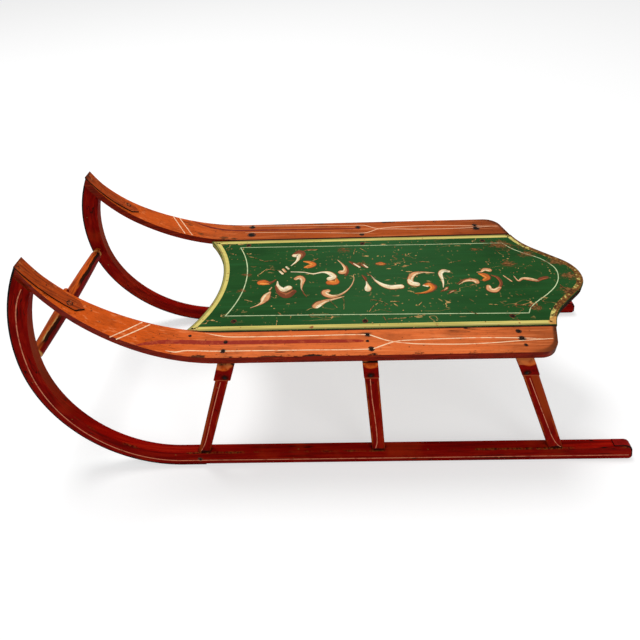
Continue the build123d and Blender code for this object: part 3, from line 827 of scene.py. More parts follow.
def flow(points, step):
    """A smooth line through points, its slopes weighed by the distances to their neighbours."""
    last = len(points) - 1
    gaps = [math.dist(a[:2], b[:2]) for a, b in zip(points, points[1:])]
    slopes = []
    for i, point in enumerate(points):
        before = [(a - b) / gaps[i - 1] for a, b in zip(point, points[i - 1])] if i else None
        after = [(b - a) / gaps[i] for a, b in zip(point, points[i + 1])] if i < last else None
        if before and after:
            share = gaps[i - 1] / (gaps[i - 1] + gaps[i])
            slopes.append([a * share + b * (1 - share) for a, b in zip(before, after)])
        else:
            slopes.append(before or after)
    smooth = []
    for i in range(last):
        count = max(1, round(gaps[i] / step))
        for k in range(count):
            t = k / count
            start, leave = 2 * t**3 - 3 * t**2 + 1, (t**3 - 2 * t**2 + t) * gaps[i]
            end, reach = 3 * t**2 - 2 * t**3, (t**3 - t**2) * gaps[i]
            rows = zip(points[i], slopes[i], points[i + 1], slopes[i + 1])
            smooth.append([p * start + m * leave + q * end + n * reach for p, m, q, n in rows])
    smooth.append(list(points[last]))
    return smooth


# A stroke's least width, and how far its inner side may reach towards the centre of a tight turn
FINEST, TIGHTEST = 0.1, 0.85

# How far a scratch wanders off the straight, and how high above a surface a point starts to drop and how deep
SHAKE = 1.2
DROP_START, DROP_REACH = 6, 14


def brush(skin, points, place, lift, shift=0.0, swell=1.0, step=2.5, round_ends=True, sunk=0.12):
    """A painted strip along points of (u, v, width), laid by place(u, v) on a surface.

    Its top stands off by lift and its sides go down to sunk. shift moves it to its left by a share of its
    width, swell scales its width, and step is the length of its pieces.
    """
    line = flow(points, step)
    stations = []
    for i, (u, v, width) in enumerate(line):
        before, after = line[max(i - 1, 0)], line[min(i + 1, len(line) - 1)]
        du, dv = after[0] - before[0], after[1] - before[1]
        size = math.hypot(du, dv) or 1.0
        du, dv, width = du / size, dv / size, max(width, FINEST)
        turn = 0.0
        if 0 < i < len(line) - 1:
            a = (u - before[0], v - before[1])
            b = (after[0] - u, after[1] - v)
            reach = math.hypot(*a) * math.hypot(*b) or 1.0
            turn = 2 * (a[0] * b[1] - a[1] * b[0]) / reach / size
        u, v = u - dv * shift * width, v + du * shift * width
        half = width * swell / 2
        left = min(half, TIGHTEST / turn) if turn > 0 else half
        right = min(half, TIGHTEST / -turn) if turn < 0 else half
        stations.append((u, v, du, dv, left, right))
    if round_ends:
        for end, way in ((0, -1), (-1, 1)):
            u, v, du, dv, left, right = stations[end]
            half = (left + right) / 2
            cap = []
            for out in (0.45, 0.8, 0.98):
                narrow = (1 - out * out) ** 0.5
                cap_u, cap_v = u + du * way * half * out, v + dv * way * half * out
                cap.append((cap_u, cap_v, du, dv, left * narrow, right * narrow))
            stations = cap[::-1] + stations if way < 0 else stations + cap
    rings = []
    for u, v, du, dv, left, right in stations:
        ring = []
        for across, rise in ((left, lift), (-right, lift), (-right, -sunk), (left, -sunk)):
            point, normal = place(u - dv * across, v + du * across)
            ring.append(point + normal * rise)
        rings.append(ring)
    skin.wrap(rings)


def wander(points, seed):
    """A hand-drawn scratch: more points on the way, moved off the straight by noise."""
    rough = []
    for a, b in zip(points, points[1:]):
        count = max(2, round(math.dist(a, b) / 3))
        for k in range(count):
            x, y = (p + (q - p) * k / count for p, q in zip(a, b))
            off_x, off_y = noise.noise(Vector((x, y, seed))), noise.noise(Vector((y, x, seed)))
            rough.append((x + SHAKE * off_x, y + SHAKE * off_y))
    return rough + [points[-1]]


def head(skin, place, u, v, radius, rise, sunk=0.4, seed=0.0):
    """A hammered nail head: an uneven dome on the surface."""
    point, normal = place(u, v)
    side = normal.orthogonal().normalized()
    other = normal.cross(side)
    count = 14
    dome = ((1.0, -sunk), (1.0, rise * 0.35), (0.86, rise * 0.8), (0.5, rise), (0.12, rise * 1.02))
    rings = []
    for share, height in dome:
        ring = []
        for k in range(count):
            angle = math.tau * k / count
            way = side * math.cos(angle) + other * math.sin(angle)
            uneven = 1 + 0.16 * noise.noise(way * 1.3 + Vector((seed, u * 0.1, v * 0.1)))
            ring.append(point + way * radius * share * uneven + normal * height)
        rings.append(ring)
    skin.wrap(rings)


def on_deck(x, y):
    return Vector((x, y, DECK_TOP)), Vector((0, 0, 1))


def node_surface(node):
    """A function that drops a point along a normal onto a node's own faces."""
    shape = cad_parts[node]
    mesh = shape.data
    points = [shape.matrix_world @ vertex.co / MM for vertex in mesh.vertices]
    tree = BVHTree.FromPolygons(points, [face.vertices for face in mesh.polygons])

    def drop(point, normal):
        hit = tree.ray_cast(point + normal * DROP_START, -normal, DROP_REACH)[0]
        return hit if hit is not None else point

    return drop


def on_rail(hand):
    """Places x and the distance from the middle of the sled on the top of a rail."""
    side = SIDES[hand]
    drop = node_surface(f"rail_{hand}")

    def place(x, y):
        px, pz, left = rail_line.at(rail_line.along_at(x))
        normal = Vector((left[0], 0, left[1]))
        return drop(Vector((px, side * y, pz)), normal), normal

    return place


def on_runner(hand):
    """Places the way along the sole's line and the height above it on the runner's outer face."""
    side = SIDES[hand]
    line = runner_line(hand)
    drop = node_surface(f"runner_{hand}")
    normal = Vector((0, side, SPLAY)).normalized()

    def place(along, lift):
        x, z, _ = line.at(along, lift)
        return drop(Vector((x, side * (RUNNER_OUT - SPLAY * z), z)), normal), normal

    return place


def on_bench(row, hand):
    """Places a share of the bench's length and a height on the bench's end."""
    side = SIDES[hand]
    low, high = (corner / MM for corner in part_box(f"bench_{row}"))
    drop = node_surface(f"bench_{row}")
    normal = Vector((0, side, 0))

    def place(share, z):
        return drop(Vector((low.x + (high.x - low.x) * share, side * high.y, z)), normal), normal

    return place


def post_middle(row, hand):
    """The post's middle in x where it leaves the runner and where it meets the bench."""
    vertices = [vertex.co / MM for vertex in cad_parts[f"post_{row}_{hand}"].data.vertices]
    rings = [
        [vertex.x for vertex in vertices if abs(vertex.z - level) < 0.6]
        for level in (POST_LOW, POST_HIGH)
    ]
    return [(min(ring) + max(ring)) / 2 for ring in rings]


def on_post(row, hand):
    """Places a share of the post's height and x from its middle on the post's outer face."""
    side = SIDES[hand]
    drop = node_surface(f"post_{row}_{hand}")
    low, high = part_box(f"post_{row}_{hand}")
    foot, top = post_middle(row, hand)
    face_y = (side * max(side * low.y, side * high.y)) / MM

    def place(share, x):
        z = POST_LOW + (POST_HIGH - POST_LOW) * share
        px = foot + (top - foot) * share + x
        normal = Vector((0, side, 0))
        return drop(Vector((px, face_y, z)), normal), normal

    return place


# ---- The painter's work, in millimetres ----

# How far a ring of paint starts inside the deck's edge, the rim's width, how deep its sides go, and the least
# distance between two points of the outline
EDGE_GAP, RIM_WIDTH, BURIED, OUTLINE_STEP = 0.2, 3.4, 0.2, 2.0

# Softly rounded edges: the least angle that is rounded, and the steps round it
SOFT_ANGLE, SOFT_STEPS = 32, 3

# The light and the shadow that go with each paint of the scrollwork
STROKE_LIGHTS = {"cream": "ivory", "peach": "cream", "orange": "amber", "umber": "russet"}
STROKE_SHADOWS = {"cream": "russet", "peach": "umber", "orange": "umber", "umber": "umber"}

# Scrollwork: a paint and its stroke as x, y and width
SCROLLS = (
    ("cream", ((94, -71, 9.1), (89, -73, 10.7), (87, -65, 7.3), (90, -54, 4.0), (99, -40, 1.2))),
    ("umber", ((94, -77, 4.5), (86, -81, 10.0), (80, -74, 7.3), (84, -60, 3.0))),
    ("umber", ((81, -84, 1.2), (70, -89, 2.0), (55, -89, 0.9))),
    ("cream", ((107, -37, 3.4), (103, -31, 3.8))),
    ("peach", ((112, -30, 4.2), (108, -23, 4.4))),
    ("cream", ((117, -24, 3.6), (112, -17, 3.6))),
    ("orange", ((78, -52, 2.3), (68, -49, 7.0), (61, -42, 8.6), (69, -37, 9.0), (76, -34, 2.9))),
    ("cream", (
        (98, -22, 1.8), (77, -20, 2.0), (61, -15, 2.6), (46, -19, 3.6), (35, -16, 7.6), (28, -5, 9.9),
        (34, 0, 10),
    )),
    ("orange", ((23, 1, 3.3), (24, 10, 10.0), (34, 10, 11.5))),
    ("peach", ((89, -2, 6.9), (83, -5, 10.2), (78, 1, 8.0), (79, 14, 4.4), (79, 25, 2.0), (76, 34, 0.8))),
    ("umber", ((79, 24, 1.4), (76, 36, 1.6), (70, 47, 1.0))),
    ("orange", ((146, 7, 11.5), (141, 7, 13.0), (133, 9, 6.9))),
    ("umber", ((134, 9, 6.0), (127, 5, 4.0), (122, -1, 1.4))),
    ("cream", ((119, 4, 1.3), (117, 17, 5.4), (108, 27, 10.2), (100, 22, 10.7))),
    ("umber", ((121, 16, 2.4), (114, 33, 6.9), (102, 41, 12.5), (92, 32, 8.3))),
    ("peach", ((127, 20, 1.5), (130, 27, 2.6))),
    ("peach", (
        (129, 33, 3.4), (133, 41, 10.4), (136, 51, 12.2), (139, 59, 6.2), (146, 66, 2.4), (156, 72, 1.0),
    )),
    ("peach", (
        (37, 33, 7.8), (42, 36, 9.6), (39, 43, 9.0), (29, 47, 6.6), (15, 41, 3.6), (2, 25, 1.9),
        (-5, 5, 1.3), (-5, -10, 0.7),
    )),
    ("peach", ((56, 71, 10.0), (50, 65, 11.5), (41, 59, 7.1), (28, 54, 4.3), (12, 48, 1.5))),
    ("cream", ((54, 74, 4.4), (49, 69, 5.1))),
    ("peach", ((15, -18, 9.4), (11, -18, 9.8), (8, -26, 5.7), (12, -40, 3.5), (20, -54, 1.3))),
    ("umber", ((6, -36, 1.7), (4, -21, 3.3), (8, -9, 4.3))),
    ("umber", ((0, -48, 3.1), (-8, -40, 6.3), (-16, -31, 4.2))),
    ("cream", ((-7, -42, 2.3), (-16, -31, 3.6))),
    ("umber", ((-21, -37, 5.4), (-28, -30, 4.8))),
    ("cream", ((-23, -39, 2.3), (-29, -30, 3.2))),
    ("orange", ((-46, -40, 4.6), (-52, -40, 8.6), (-58, -39, 4.6))),
    ("cream", ((-25, 10, 1.5), (-26, 19, 4.4), (-26, 28, 10.1), (-26, 32, 8.8))),
    ("umber", ((-19, -8, 1.6), (-23, 0, 4.4), (-25, 8, 2.4))),
    ("cream", ((-34, -5, 1.0), (-41, 9, 3.4), (-52, 21, 7.4), (-63, 26, 9.9), (-79, 25, 9.7))),
    ("umber", ((-27, -14, 0.8), (-33, -6, 1.6), (-40, 6, 1.2))),
    ("peach", ((-137, -10, 0.9), (-118, -12, 4.1), (-104, -8, 8.8), (-97, 4, 8.6), (-96, 16, 8.4))),
    ("cream", ((-94, 9, 5.8), (-97, 17, 9.8), (-105, 20, 9.8))),
    ("orange", (
        (-117, 23, 5.4), (-125, 22, 9.1), (-128, 30, 7.1), (-122, 38, 5.0), (-111, 43, 3.0),
        (-99, 44, 1.1),
    )),
    ("umber", ((-128, 19, 2.0), (-134, 27, 3.0), (-128, 38, 2.4), (-114, 45, 1.2))),
    ("cream", ((-115, 24, 3.2), (-121, 26, 3.6))),
    ("cream", (
        (-161, -13, 4.8), (-153, -15, 7.5), (-147, -8, 6.7), (-147, 6, 4.7), (-147, 18, 2.6),
        (-145, 30, 0.9),
    )),
    ("umber", ((-140, 40, 1.2), (-147, 36, 4.6), (-153, 29, 1.6))),
    ("peach", ((-145, 37, 1.6), (-150, 32, 3.4))),
    ("umber", ((-150, 47, 1.2), (-157, 41, 4.6), (-164, 38, 1.4))),
    ("peach", ((-153, 44, 1.2), (-159, 40, 2.4))),
    ("peach", ((-171, 23, 1.2), (-181, 15, 3.6), (-192, 12, 7.3), (-199, 15, 8.6), (-200, 19, 7.2))),
    ("umber", ((-168, 22, 1.0), (-180, 11, 1.6), (-192, 8, 1.2))),
    ("peach", ((-206, -9, 1.1), (-213, -10, 2.6), (-220, -16, 7.0), (-227, -14, 8.4))),
    ("orange", ((-208, -5, 2.4), (-216, 0, 10.4), (-219, 7, 9.2), (-213, 13, 6.0))),
    ("umber", ((-227, 0, 1.8), (-235, 7, 4.6), (-237, 22, 4.4), (-231, 34, 4.0))),
    ("peach", ((-232, 34, 5.0), (-223, 41, 8.8), (-216, 38, 9.0), (-216, 30, 6.8))),
    ("peach", ((-246, 2, 1.6), (-255, 18, 2.4))),
    ("peach", ((-262, 4, 1.2), (-266, 17, 2.8), (-274, 11, 4.6), (-285, 13, 7.4), (-296, 18, 4.6))),
    ("umber", ((-296, 18, 4.2), (-304, 13, 6.2), (-313, 10, 6.0))),
)

# Long scratches on the deck: their width and how much it varies, their height, and then their points' x and y
SCRATCH_WIDTH, SCRATCH_SPREAD, SCRATCH_LIFT = 0.9, 0.5, 0.55
SCRATCHES = (
    ((-51, 105), (-76, 103), (-107, 97)), ((-45, 98), (-49, 111)), ((-25, 86), (-33, 73), (-42, 64)),
    ((-29, 58), (-43, 61), (-54, 70)), ((-59, 63), (-72, 64)), ((15, 48), (12, 62), (13, 80)),
    ((-8, -71), (-11, -89)), ((-20, -89), (-30, -77)), ((-117, -43), (-134, -42)),
    ((-167, -38), (-187, -44)), ((-172, 21), (-182, 13)), ((-74, -40), (-85, -39)),
    ((-171, 89), (-184, 98)), ((-240, 81), (-246, 77), (-258, 79), (-271, 86)), ((-206, 75), (-219, 77)),
    ((153, -13), (140, -31), (118, -26)), ((174, -72), (145, -55), (125, -57)), ((218, 100), (206, 101)),
    ((113, 103), (113, 113)), ((77, -86), (54, -87)), ((35, 56), (23, 76)), ((-99, 75), (-107, 66)),
    ((67, -50), (54, -59)), ((167, 52), (155, 57)), ((-327, 30), (-333, 49)), ((-251, -37), (-264, -25)),
)

# The front line inside the deck's border, an arc: x at the bottom of its hollow, its radius, its middle's y
PINSTRIPE_HOLLOW, PINSTRIPE_RADIUS, PINSTRIPE_MIDDLE = 170.5, 222, -5

# Its other lines, as a share of the line's width and then x and y
DECK_LINES = (
    (1.0, ((193.0, 90), (-33, 93), (-259.5, 97))),
    (0.85, ((192.5, -101), (-38, -98), (-268.5, -96))),
    (1.0, (
        (-259.5, 97), (-266, 84), (-281, 69), (-301, 52), (-320, 31), (-332, 7), (-334, -18), (-320, -44),
        (-296, -63), (-281, -77), (-268.5, -96),
    )),
)

# Lines on each rail, as x, distance from the sled's middle, and a share of the line's width: two diagonals on
# the bend, the inner line and the outer line
RAIL_LINES = {
    "left": (
        ((333, 170.5, 1), (303.5, 125.5, 1)),
        ((325, 171, 1), (292.6, 126, 1)),
        (
            (215, 129.4, 0.3), (197, 134, 1), (177.4, 137.5, 1), (77, 138.2, 1), (-19.2, 138.2, 1),
            (-30, 143, 1.3), (-42, 149.5, 1.2), (-55, 154, 1), (-70, 157, 1), (-90, 159.5, 1),
            (-147, 161.5, 1), (-190, 160, 0.9), (-226, 157, 0.8), (-276, 153.5, 0.6),
        ),
        (
            (262, 172.5, 0.4), (249, 173, 1.2), (238.6, 169, 1.2), (225, 167, 1), (184, 166.9, 1),
            (76, 167.7, 1), (-22.6, 168, 1), (-35, 163, 1.3), (-48, 157, 1.2), (-60, 153, 1),
            (-75, 151.5, 1), (-115, 150, 1), (-171, 149, 1), (-230, 151, 0.9), (-262, 154, 0.4),
        ),
    ),
    "right": (
        ((323.5, 170.5, 1), (294, 125.5, 1)),
        ((313, 172, 1), (281.5, 126, 1)),
        (
            (190, 152, 0.3), (170, 152, 0.7), (77, 147.5, 0.7), (0, 142, 0.7), (-25, 141, 0.9),
            (-36, 142.5, 1.2), (-55, 153.5, 1.2), (-70, 157.5, 1), (-92, 160.5, 1), (-147, 161.5, 1),
            (-190, 160, 0.9), (-226, 157, 0.8), (-276, 153.5, 0.6),
        ),
        (
            (200, 176, 0.4), (178, 175.5, 0.7), (77, 172.5, 0.7), (14, 170, 0.7), (-20, 169, 0.8),
            (-33, 168, 1.1), (-48.5, 158.6, 1.2), (-62, 154, 1), (-92, 152.7, 1), (-115, 150.5, 1),
            (-171, 149, 1), (-230, 151, 0.9), (-262, 154, 0.4),
        ),
    ),
}

# The band along each rail, as x, distance from the sled's middle, and width
RAIL_BANDS = {
    "left": (
        (300, 172.5, 1.4), (290, 166, 5.4), (270.5, 157, 7.8), (245, 151.5, 8.4), (219, 149.5, 8.6),
        (133.7, 149.5, 8.2), (60, 150, 7.6), (-8, 151, 5.6), (-13, 151.3, 2.0),
    ),
    "right": (
        (290, 173.5, 1.2), (263, 165, 4), (232, 160.5, 4.6), (201, 160, 4.6), (170, 160.3, 4.6),
        (107, 159.5, 4.4), (45, 158.5, 4.2), (-23.6, 157.4, 3),
    ),
}

# Nails: x, y and a share of the nail's radius
NAILS = {
    "deck": (
        (178.5, -108, 1), (177.5, 103, 1), (-24.5, -105, 1), (-17.5, 108, 1), (-236.5, -105, 1),
        (-233.5, 103, 1),
    ),
    "left": (
        (182.8, 148.8, 1.1), (183.9, 166.9, 1), (235.4, 137.4, 0.6), (-19.2, 138.2, 1),
        (-18.3, 151.5, 0.6), (-22.6, 167.8, 1.1), (-232.9, 137.1, 1), (-233.3, 152.3, 1.3),
        (-235, 165.7, 0.7),
    ),
    "right": (
        (178.5, 172, 1.4), (177.5, 144, 1.8), (-19.5, 161, 1.3), (-25.5, 136, 1.1), (-234.5, 159, 1.2),
        (-234.5, 148.5, 1.7),
    ),
}

# A bench's nail as a share of the bench's length and a height, a runner's nail as the way along the sole line
# and the height above it, and a strap's screw as x and distance from the middle
BENCH_NAIL = (0.5, 196.0)
RUNNER_NAIL = {"left": (697.0, 12.0), "right": (736.0, 12.0)}
STRAP_SCREW = (388.0, 140.0)

# Shares of the nail's radius: a stain on deck or rail, a nail in the frame, and a stain on a runner
STAIN_SHARE, FRAME_NAIL_SHARE, RUNNER_STAIN_SHARE = 1.5, 0.8, 1.6

# Shares of the screw's radius: its head and the worn seat under it; and half its slot's length and the width
SCREW_SHARE, SEAT_SHARE = 0.85, 1.25
SLOT_HALF, SLOT_WIDTH = 2.6, 0.9

# Lines down the posts, as a share of the height and x from the post's middle
POST_LINES = {
    "front": ((0.97, 1.5), (0.6, 2.2), (0.25, 1.8), (0.12, 2.6), (0.03, 5.2)),
    "middle": ((0.98, 2.2), (0.72, 2.4), (0.55, 1.4), (0.3, 0.6), (0.12, 1.4), (0.03, 4.6)),
    "rear": ((0.96, 3.2), (0.6, 2.0), (0.35, 0.8), (0.15, -0.6), (0.04, -5.0), (0.01, -9.0)),
}

# The stage: the floor's half width, the lamps as a name, place, aim, size and power, and the camera
FLOOR_REACH = 12.0
LAMPS = (
    ("key_lamp", (1.1, -1.2, 4.2), (0.0, 0.0, 0.0), 1.6, 105.0),
    ("fill_lamp", (-1.6, 2.4, 1.8), (0.0, 0.0, 0.1), 1.6, 22.0),
)
CAMERA_LENS, CAMERA_SENSOR = 29.53, 36.0
CAMERA_PLACE = (0.0277, 0.6974, 0.7316)
CAMERA_RIGHT = (-0.9994, -0.0080, -0.0329)
CAMERA_UP = (-0.0199, -0.6450, 0.7639)
CAMERA_BACK = (-0.0273, 0.7641, 0.6445)


def deck_outline():
    """The edge of the board's top face, point by point."""
    shape = bmesh.new()
    shape.from_mesh(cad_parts["deck_board"].data)
    bmesh.ops.remove_doubles(shape, verts=shape.verts, dist=0.01 * MM)
    top = {face.index for face in shape.faces if face.normal.z > 0.999}
    beside = {}
    for edge in shape.edges:
        bounds_top = sum(face.index in top for face in edge.link_faces) == 1
        if bounds_top and abs(edge.verts[0].co.z / MM - DECK_TOP) < 0.01:
            for here, there in (edge.verts, reversed(edge.verts)):
                beside.setdefault(here.index, []).append(there.index)
    places = [(vertex.co.x / MM, vertex.co.y / MM) for vertex in shape.verts]
    shape.free()
    loop = [next(iter(beside))]
    for _ in range(len(beside) - 1):
        loop.append(next(other for other in beside[loop[-1]] if other not in loop[-2:]))
    return [places[index] for index in loop]


def inset(outline, distance):
    """A closed outline moved in by a distance, with its corners kept sharp."""
    area = sum(a[0] * b[1] - b[0] * a[1] for a, b in zip(outline, outline[1:] + outline[:1]))
    turn = 1 if area > 0 else -1
    moved = []
    for i, here in enumerate(outline):
        before, after = outline[i - 1], outline[(i + 1) % len(outline)]
        ways = []
        for a, b in ((before, here), (here, after)):
            size = math.dist(a, b)
            ways.append(((a[1] - b[1]) / size * turn, (b[0] - a[0]) / size * turn))
        lean = (ways[0][0] + ways[1][0], ways[0][1] + ways[1][1])
        share = 2 * distance / (lean[0] ** 2 + lean[1] ** 2)
        moved.append((here[0] + lean[0] * share, here[1] + lean[1] * share))
    return moved


# ---- Operators ----


class SLED_OT_timber(bpy.types.Operator):
    """Give the sled's own pieces their paint, iron and softly rounded edges"""

    bl_idname = "sled.timber"
    bl_label = "Finish Timber and Irons"

    def execute(self, context):
        # The first letters of the nodes' names, their material, and their edges' rounding in millimetres
        groups = (
            ("deck_board", deck_finish(), 0.5),
            ("rail_", rail_finish(), 1.1),
            ("runner_shoe_", shoe_finish(), 0.5),
            ("runner_", frame_finish("runner"), 1.3),
            ("bench_", bench_finish(), 1.6),
            ("post_", frame_finish("post"), 0.8),
            ("bow_iron_", iron_finish(), 0.5),
            ("crossbar", bar_finish(), 0.6),
            ("tow_peg", bar_finish(), 0.3),
        )
        for name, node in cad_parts.items():
            material, rounding = next(rest for start, *rest in groups if name.startswith(start))
            node.data.materials.clear()
            node.data.materials.append(material)
            node.data.polygons.foreach_set("use_smooth", [True] * len(node.data.polygons))
            bevel = node.modifiers.new("soft_edges", "BEVEL")
            bevel.width = rounding * MM
            bevel.segments = SOFT_STEPS
            bevel.limit_method = "ANGLE"
            bevel.angle_limit = math.radians(SOFT_ANGLE)
            bevel.harden_normals = True
        return {"FINISHED"}


class SLED_OT_deck_paint(bpy.types.Operator):
    """Paint the deck's border, its inner line and its scrollwork"""

    bl_idname = "sled.deck_paint"
    bl_label = "Paint Deck"

    def execute(self, context):
        lift = sizes().paint_thickness / MM
        width = sizes().border_width / MM
        rim = deck_outline()
        rim = [point for i, point in enumerate(rim) if math.dist(point, rim[i - 1]) > OUTLINE_STEP]
        for name, outer, inner in (("deck_border", RIM_WIDTH, width), ("deck_rim", EDGE_GAP, RIM_WIDTH)):
            rings = []
            for a, b in zip(inset(rim, outer), inset(rim, inner)):
                corners = zip((a, b, b, a), (lift, lift, -BURIED, -BURIED))
                rings.append([Vector((*corner, DECK_TOP + rise)) for corner, rise in corners])
            ring = Skin()
            ring.wrap(rings, closed=True)
            ring.piece(name, border_finish(name == "deck_rim"), "deck_paint")

        line = Skin()
        thin = sizes().pinstripe_width / MM
        across = range(-101, 91, 10)
        falls = [(PINSTRIPE_RADIUS**2 - (y - PINSTRIPE_MIDDLE) ** 2) ** 0.5 for y in across]
        front = [(PINSTRIPE_HOLLOW + PINSTRIPE_RADIUS - fall, y) for fall, y in zip(falls, across)]
        for order, (share, points) in enumerate(((1.2, [*front, (191.6, 90)]), *DECK_LINES)):
            stations = [(x, y, thin * share) for x, y in points]
            brush(line, stations, on_deck, lift + LAYER * order, round_ends=False)
        line.piece("deck_pinstripe", stroke_finish("pinstripe"), "deck_paint")

        skins = {}
        for order, (paint, points) in enumerate(SCROLLS):
            flat = [point[:2] for point in points]
            bends = zip(flat, flat[1:], flat[2:])
            turn = sum((b[0] - a[0]) * (c[1] - b[1]) - (b[1] - a[1]) * (c[0] - b[0]) for a, b, c in bends)
            inner = 1 if turn > 0 else -1
            # The stroke over its shadow and under its light: each with its rise, shift and swell
            for colour, rise, shift, swell in (
                (STROKE_SHADOWS[paint], 0.8, -0.09, 1.13),
                (paint, 1.1, 0.0, 1.0),
                (STROKE_LIGHTS[paint], 1.4, 0.22, 0.28),
            ):
                strokes = skins.setdefault(colour, Skin())
                brush(strokes, points, on_deck, lift * rise + LAYER * order, shift * inner, swell, step=1.6)
        for colour, strokes in skins.items():
            strokes.piece(f"scrollwork_{colour}", stroke_finish(colour), "deck_paint")

        marks = Skin()
        for i, points in enumerate(SCRATCHES):
            width = SCRATCH_WIDTH + SCRATCH_SPREAD * noise.noise(Vector((i * 3.7, 0.0, 0.0)))
            stations = [(x, y, width) for x, y in wander(points, i)]
            brush(marks, stations, on_deck, SCRATCH_LIFT + LAYER * i, step=1.2)
        marks.piece("deck_scratches", scratch_finish(), "deck_paint")
        return {"FINISHED"}


class SLED_OT_rail_paint(bpy.types.Operator):
    """Stripe both side rails"""

    bl_idname = "sled.rail_paint"
    bl_label = "Stripe Rails"

    def execute(self, context):
        lift = sizes().paint_thickness / MM
        width = sizes().rail_line_width / MM
        for hand in SIDES:
            place = on_rail(hand)
            white, band = Skin(), Skin()
            for order, points in enumerate(RAIL_LINES[hand]):
                stations = [(x, y, share * width) for x, y, share in points]
                brush(white, stations, place, lift * 1.3 + LAYER * order, round_ends=False)
            brush(band, RAIL_BANDS[hand], place, lift, round_ends=False)
            white.piece(f"rail_lines_{hand}", line_finish("stripe_white", "rail_orange", 0.6), "rail_paint")
            band.piece(f"rail_band_{hand}", line_finish("band_red", "rail_orange", 0.3), "rail_paint")
        return {"FINISHED"}


class SLED_OT_frame_paint(bpy.types.Operator):
    """Stripe the runners and the posts"""

    bl_idname = "sled.frame_paint"
    bl_label = "Stripe Runners and Posts"

    def execute(self, context):
        lift = sizes().paint_thickness / MM
        width = sizes().runner_line_width / MM
        post_width = sizes().post_line_width / MM
        pink = line_finish("stripe_pink", "frame_red", 0.7)
        for hand in SIDES:
            line = runner_line(hand)
            place = on_runner(hand)
            sole = line.stretches[0][3]
            end = line.length
            stripe = Skin()
            # The way along, the height and a share of the width, from the heel to the tip
            points = (
                (8, 10, 0.7), (sole * 0.4, 10, 1), (sole, 10, 1.1), (sole + 150, 11, 1), (sole + 321, 13, 1),
                (end - 80, 12, 1), (end - 50, 12.8, 1), (end - 27, 15.8, 0.6),
            )
            stations = [(u, v, share * width) for u, v, share in points]
            brush(stripe, stations, place, lift, step=4.0, round_ends=False)
            stripe.piece(f"runner_line_{hand}", pink, "frame_paint")
            for row in ROWS:
                lines = Skin()
                spot = on_post(row, hand)
                rise = POST_HIGH - POST_LOW
                points = [(share * rise, x, post_width) for share, x in POST_LINES[row]]
                brush(lines, points, lambda u, v: spot(u / rise, v), lift, step=4.0, round_ends=False)
                lines.piece(f"post_line_{row}_{hand}", pink, "frame_paint")
        return {"FINISHED"}


class SLED_OT_nails(bpy.types.Operator):
    """Drive the nails through deck and rails, and the screws through the straps"""

    bl_idname = "sled.nails"
    bl_label = "Drive Nails"

    def execute(self, context):
        radius = sizes().nail_radius / MM
        for name, spots in NAILS.items():
            place = on_deck if name == "deck" else on_rail(name)
            nails, stains = Skin(), Skin()
            for x, y, share in spots:
                head(nails, place, x, y, radius * share, rise=0.35, seed=x)
                head(stains, place, x, y, radius * share * STAIN_SHARE, rise=0.1, seed=y)
            nails.piece(f"nails_{name}", ironwork_finish("nail_iron"), "iron")
            slot = "deck_paint" if name == "deck" else "rail_paint"
            stains.piece(f"nail_stains_{name}", ironwork_finish("iron_stain"), slot)
        for hand in SIDES:
            pins, screws, seats, slots, stains = Skin(), Skin(), Skin(), Skin(), Skin()
            small = radius * FRAME_NAIL_SHARE
            for row in ROWS:
                head(pins, on_bench(row, hand), *BENCH_NAIL, small, rise=0.5, seed=len(row))
            head(pins, on_runner(hand), *RUNNER_NAIL[hand], small, rise=0.3, seed=3.0)
            pins.piece(f"frame_nails_{hand}", ironwork_finish("nail_iron"), "iron")
            wide = radius * RUNNER_STAIN_SHARE
            head(stains, on_runner(hand), *RUNNER_NAIL[hand], wide, rise=0.12, seed=9.0)
            stains.piece(f"frame_stain_{hand}", ironwork_finish("iron_stain"), "frame_paint")
            place = on_rail(hand)
            drop = node_surface(f"bow_iron_{hand}")
            point, normal = place(*STRAP_SCREW)
            point = drop(point + normal * 3, normal)
            screw = sizes().screw_radius
            head(seats, lambda u, v: (point, normal), 0, 0, screw * SEAT_SHARE / MM, rise=0.15, seed=2.0)
            head(screws, lambda u, v: (point, normal), 0, 0, screw * SCREW_SHARE / MM, rise=0.5, seed=1.0)
            side = Vector((0.7, 0.7 * SIDES[hand], 0))
            side = (side - normal * side.dot(normal)).normalized()
            other = normal.cross(side)
            along = [(-SLOT_HALF, 0, SLOT_WIDTH), (SLOT_HALF, 0, SLOT_WIDTH)]
            brush(slots, along, lambda u, v: (point + side * u + other * v, normal), 0.56, sunk=0.3)
            screws.piece(f"strap_screw_{hand}", ironwork_finish("screw_iron"), "iron")
            seats.piece(f"screw_seat_{hand}", ironwork_finish("nail_iron"), "iron")
            slots.piece(f"screw_slot_{hand}", iron_finish(), "iron")
        return {"FINISHED"}


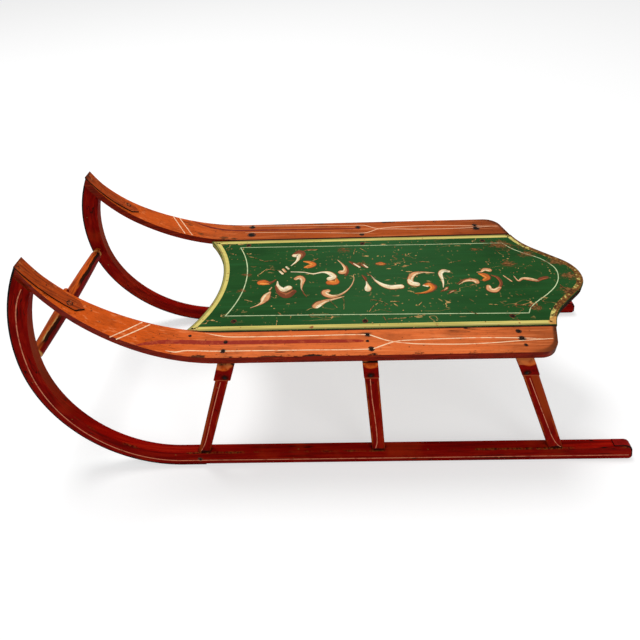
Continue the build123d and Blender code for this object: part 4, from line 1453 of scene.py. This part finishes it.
class SLED_OT_stage(bpy.types.Operator):
    """Set the floor, the soft lamps and the camera"""

    bl_idname = "sled.stage"
    bl_label = "Set Stage"

    def execute(self, context):
        scene = context.scene
        floor_mesh = bpy.data.meshes.new("floor")
        corners = [(x * FLOOR_REACH, y * FLOOR_REACH, 0) for x, y in ((-1, -1), (1, -1), (1, 1), (-1, 1))]
        floor_mesh.from_pydata(corners, [], [(0, 1, 2, 3)])
        floor = bpy.data.objects.new("floor", floor_mesh)
        scene.collection.objects.link(floor)
        paper = Finish("white_floor")
        seen = [paper.node("ShaderNodeLightPath", {}, {}, outlet) for outlet in (0, 3, 6)]
        shown = seen[0].either(seen[1]).either(seen[2])
        matt = paper.node("ShaderNodeBsdfDiffuse", {}, {"Color": (0.86, 0.86, 0.86, 1.0)})
        glow = paper.node("ShaderNodeEmission", {}, {"Color": (1.0, 1.0, 1.0, 1.0), "Strength": 1.3})
        blend = paper.node("ShaderNodeMixShader", {}, {0: shown * 0.42, 1: matt, 2: glow})
        paper.node("ShaderNodeOutputMaterial", {}, {0: blend})
        floor_mesh.materials.append(paper.material)

        world = bpy.data.worlds.new("studio")
        world.use_nodes = True
        sky = world.node_tree.nodes["Background"]
        sky.inputs["Color"].default_value = (1.0, 1.0, 1.0, 1.0)
        sky.inputs["Strength"].default_value = 0.5
        scene.world = world

        for name, place, aim, size, power in LAMPS:
            lamp = bpy.data.lights.new(name, "AREA")
            lamp.shape = "DISK"
            lamp.size = size
            lamp.energy = power
            holder = bpy.data.objects.new(name, lamp)
            holder.location = place
            holder.rotation_euler = (Vector(aim) - Vector(place)).to_track_quat("-Z", "Y").to_euler()
            scene.collection.objects.link(holder)

        camera = bpy.data.cameras.new("camera")
        camera.lens = CAMERA_LENS
        camera.sensor_width = CAMERA_SENSOR
        eye = bpy.data.objects.new("camera", camera)
        turn = Matrix((CAMERA_RIGHT, CAMERA_UP, CAMERA_BACK)).transposed().to_4x4()
        eye.matrix_world = Matrix.Translation(CAMERA_PLACE) @ turn
        scene.collection.objects.link(eye)
        scene.camera = eye
        scene.view_settings.view_transform = "Standard"
        return {"FINISHED"}


class SLED_PT_panel(bpy.types.Panel):
    """The sled's paints, sizes and steps"""

    bl_idname = "SLED_PT_panel"
    bl_label = "Snow Sled"
    bl_space_type = "VIEW_3D"
    bl_region_type = "UI"
    bl_category = "Sled"

    def draw(self, context):
        layout = self.layout
        for group in (context.scene.sled_colours, context.scene.sled_sizes):
            box = layout.box()
            for name in group.bl_rna.properties.keys():
                if name not in ("name", "rna_type"):
                    box.prop(group, name)
        for operator in OPERATORS:
            layout.operator(operator.bl_idname)


OPERATORS = (
    SLED_OT_timber,
    SLED_OT_deck_paint,
    SLED_OT_rail_paint,
    SLED_OT_frame_paint,
    SLED_OT_nails,
    SLED_OT_stage,
)
CLASSES = (SledColours, SledSizes, *OPERATORS, SLED_PT_panel)


def register():
    for item in CLASSES:
        bpy.utils.register_class(item)
    bpy.types.Scene.sled_colours = PointerProperty(type=SledColours)
    bpy.types.Scene.sled_sizes = PointerProperty(type=SledSizes)


def unregister():
    del bpy.types.Scene.sled_sizes
    del bpy.types.Scene.sled_colours
    for item in reversed(CLASSES):
        bpy.utils.unregister_class(item)


def main():
    register()
    for operator in OPERATORS:
        getattr(bpy.ops.sled, operator.bl_idname.removeprefix("sled."))()


if __name__ == "__main__":
    main()
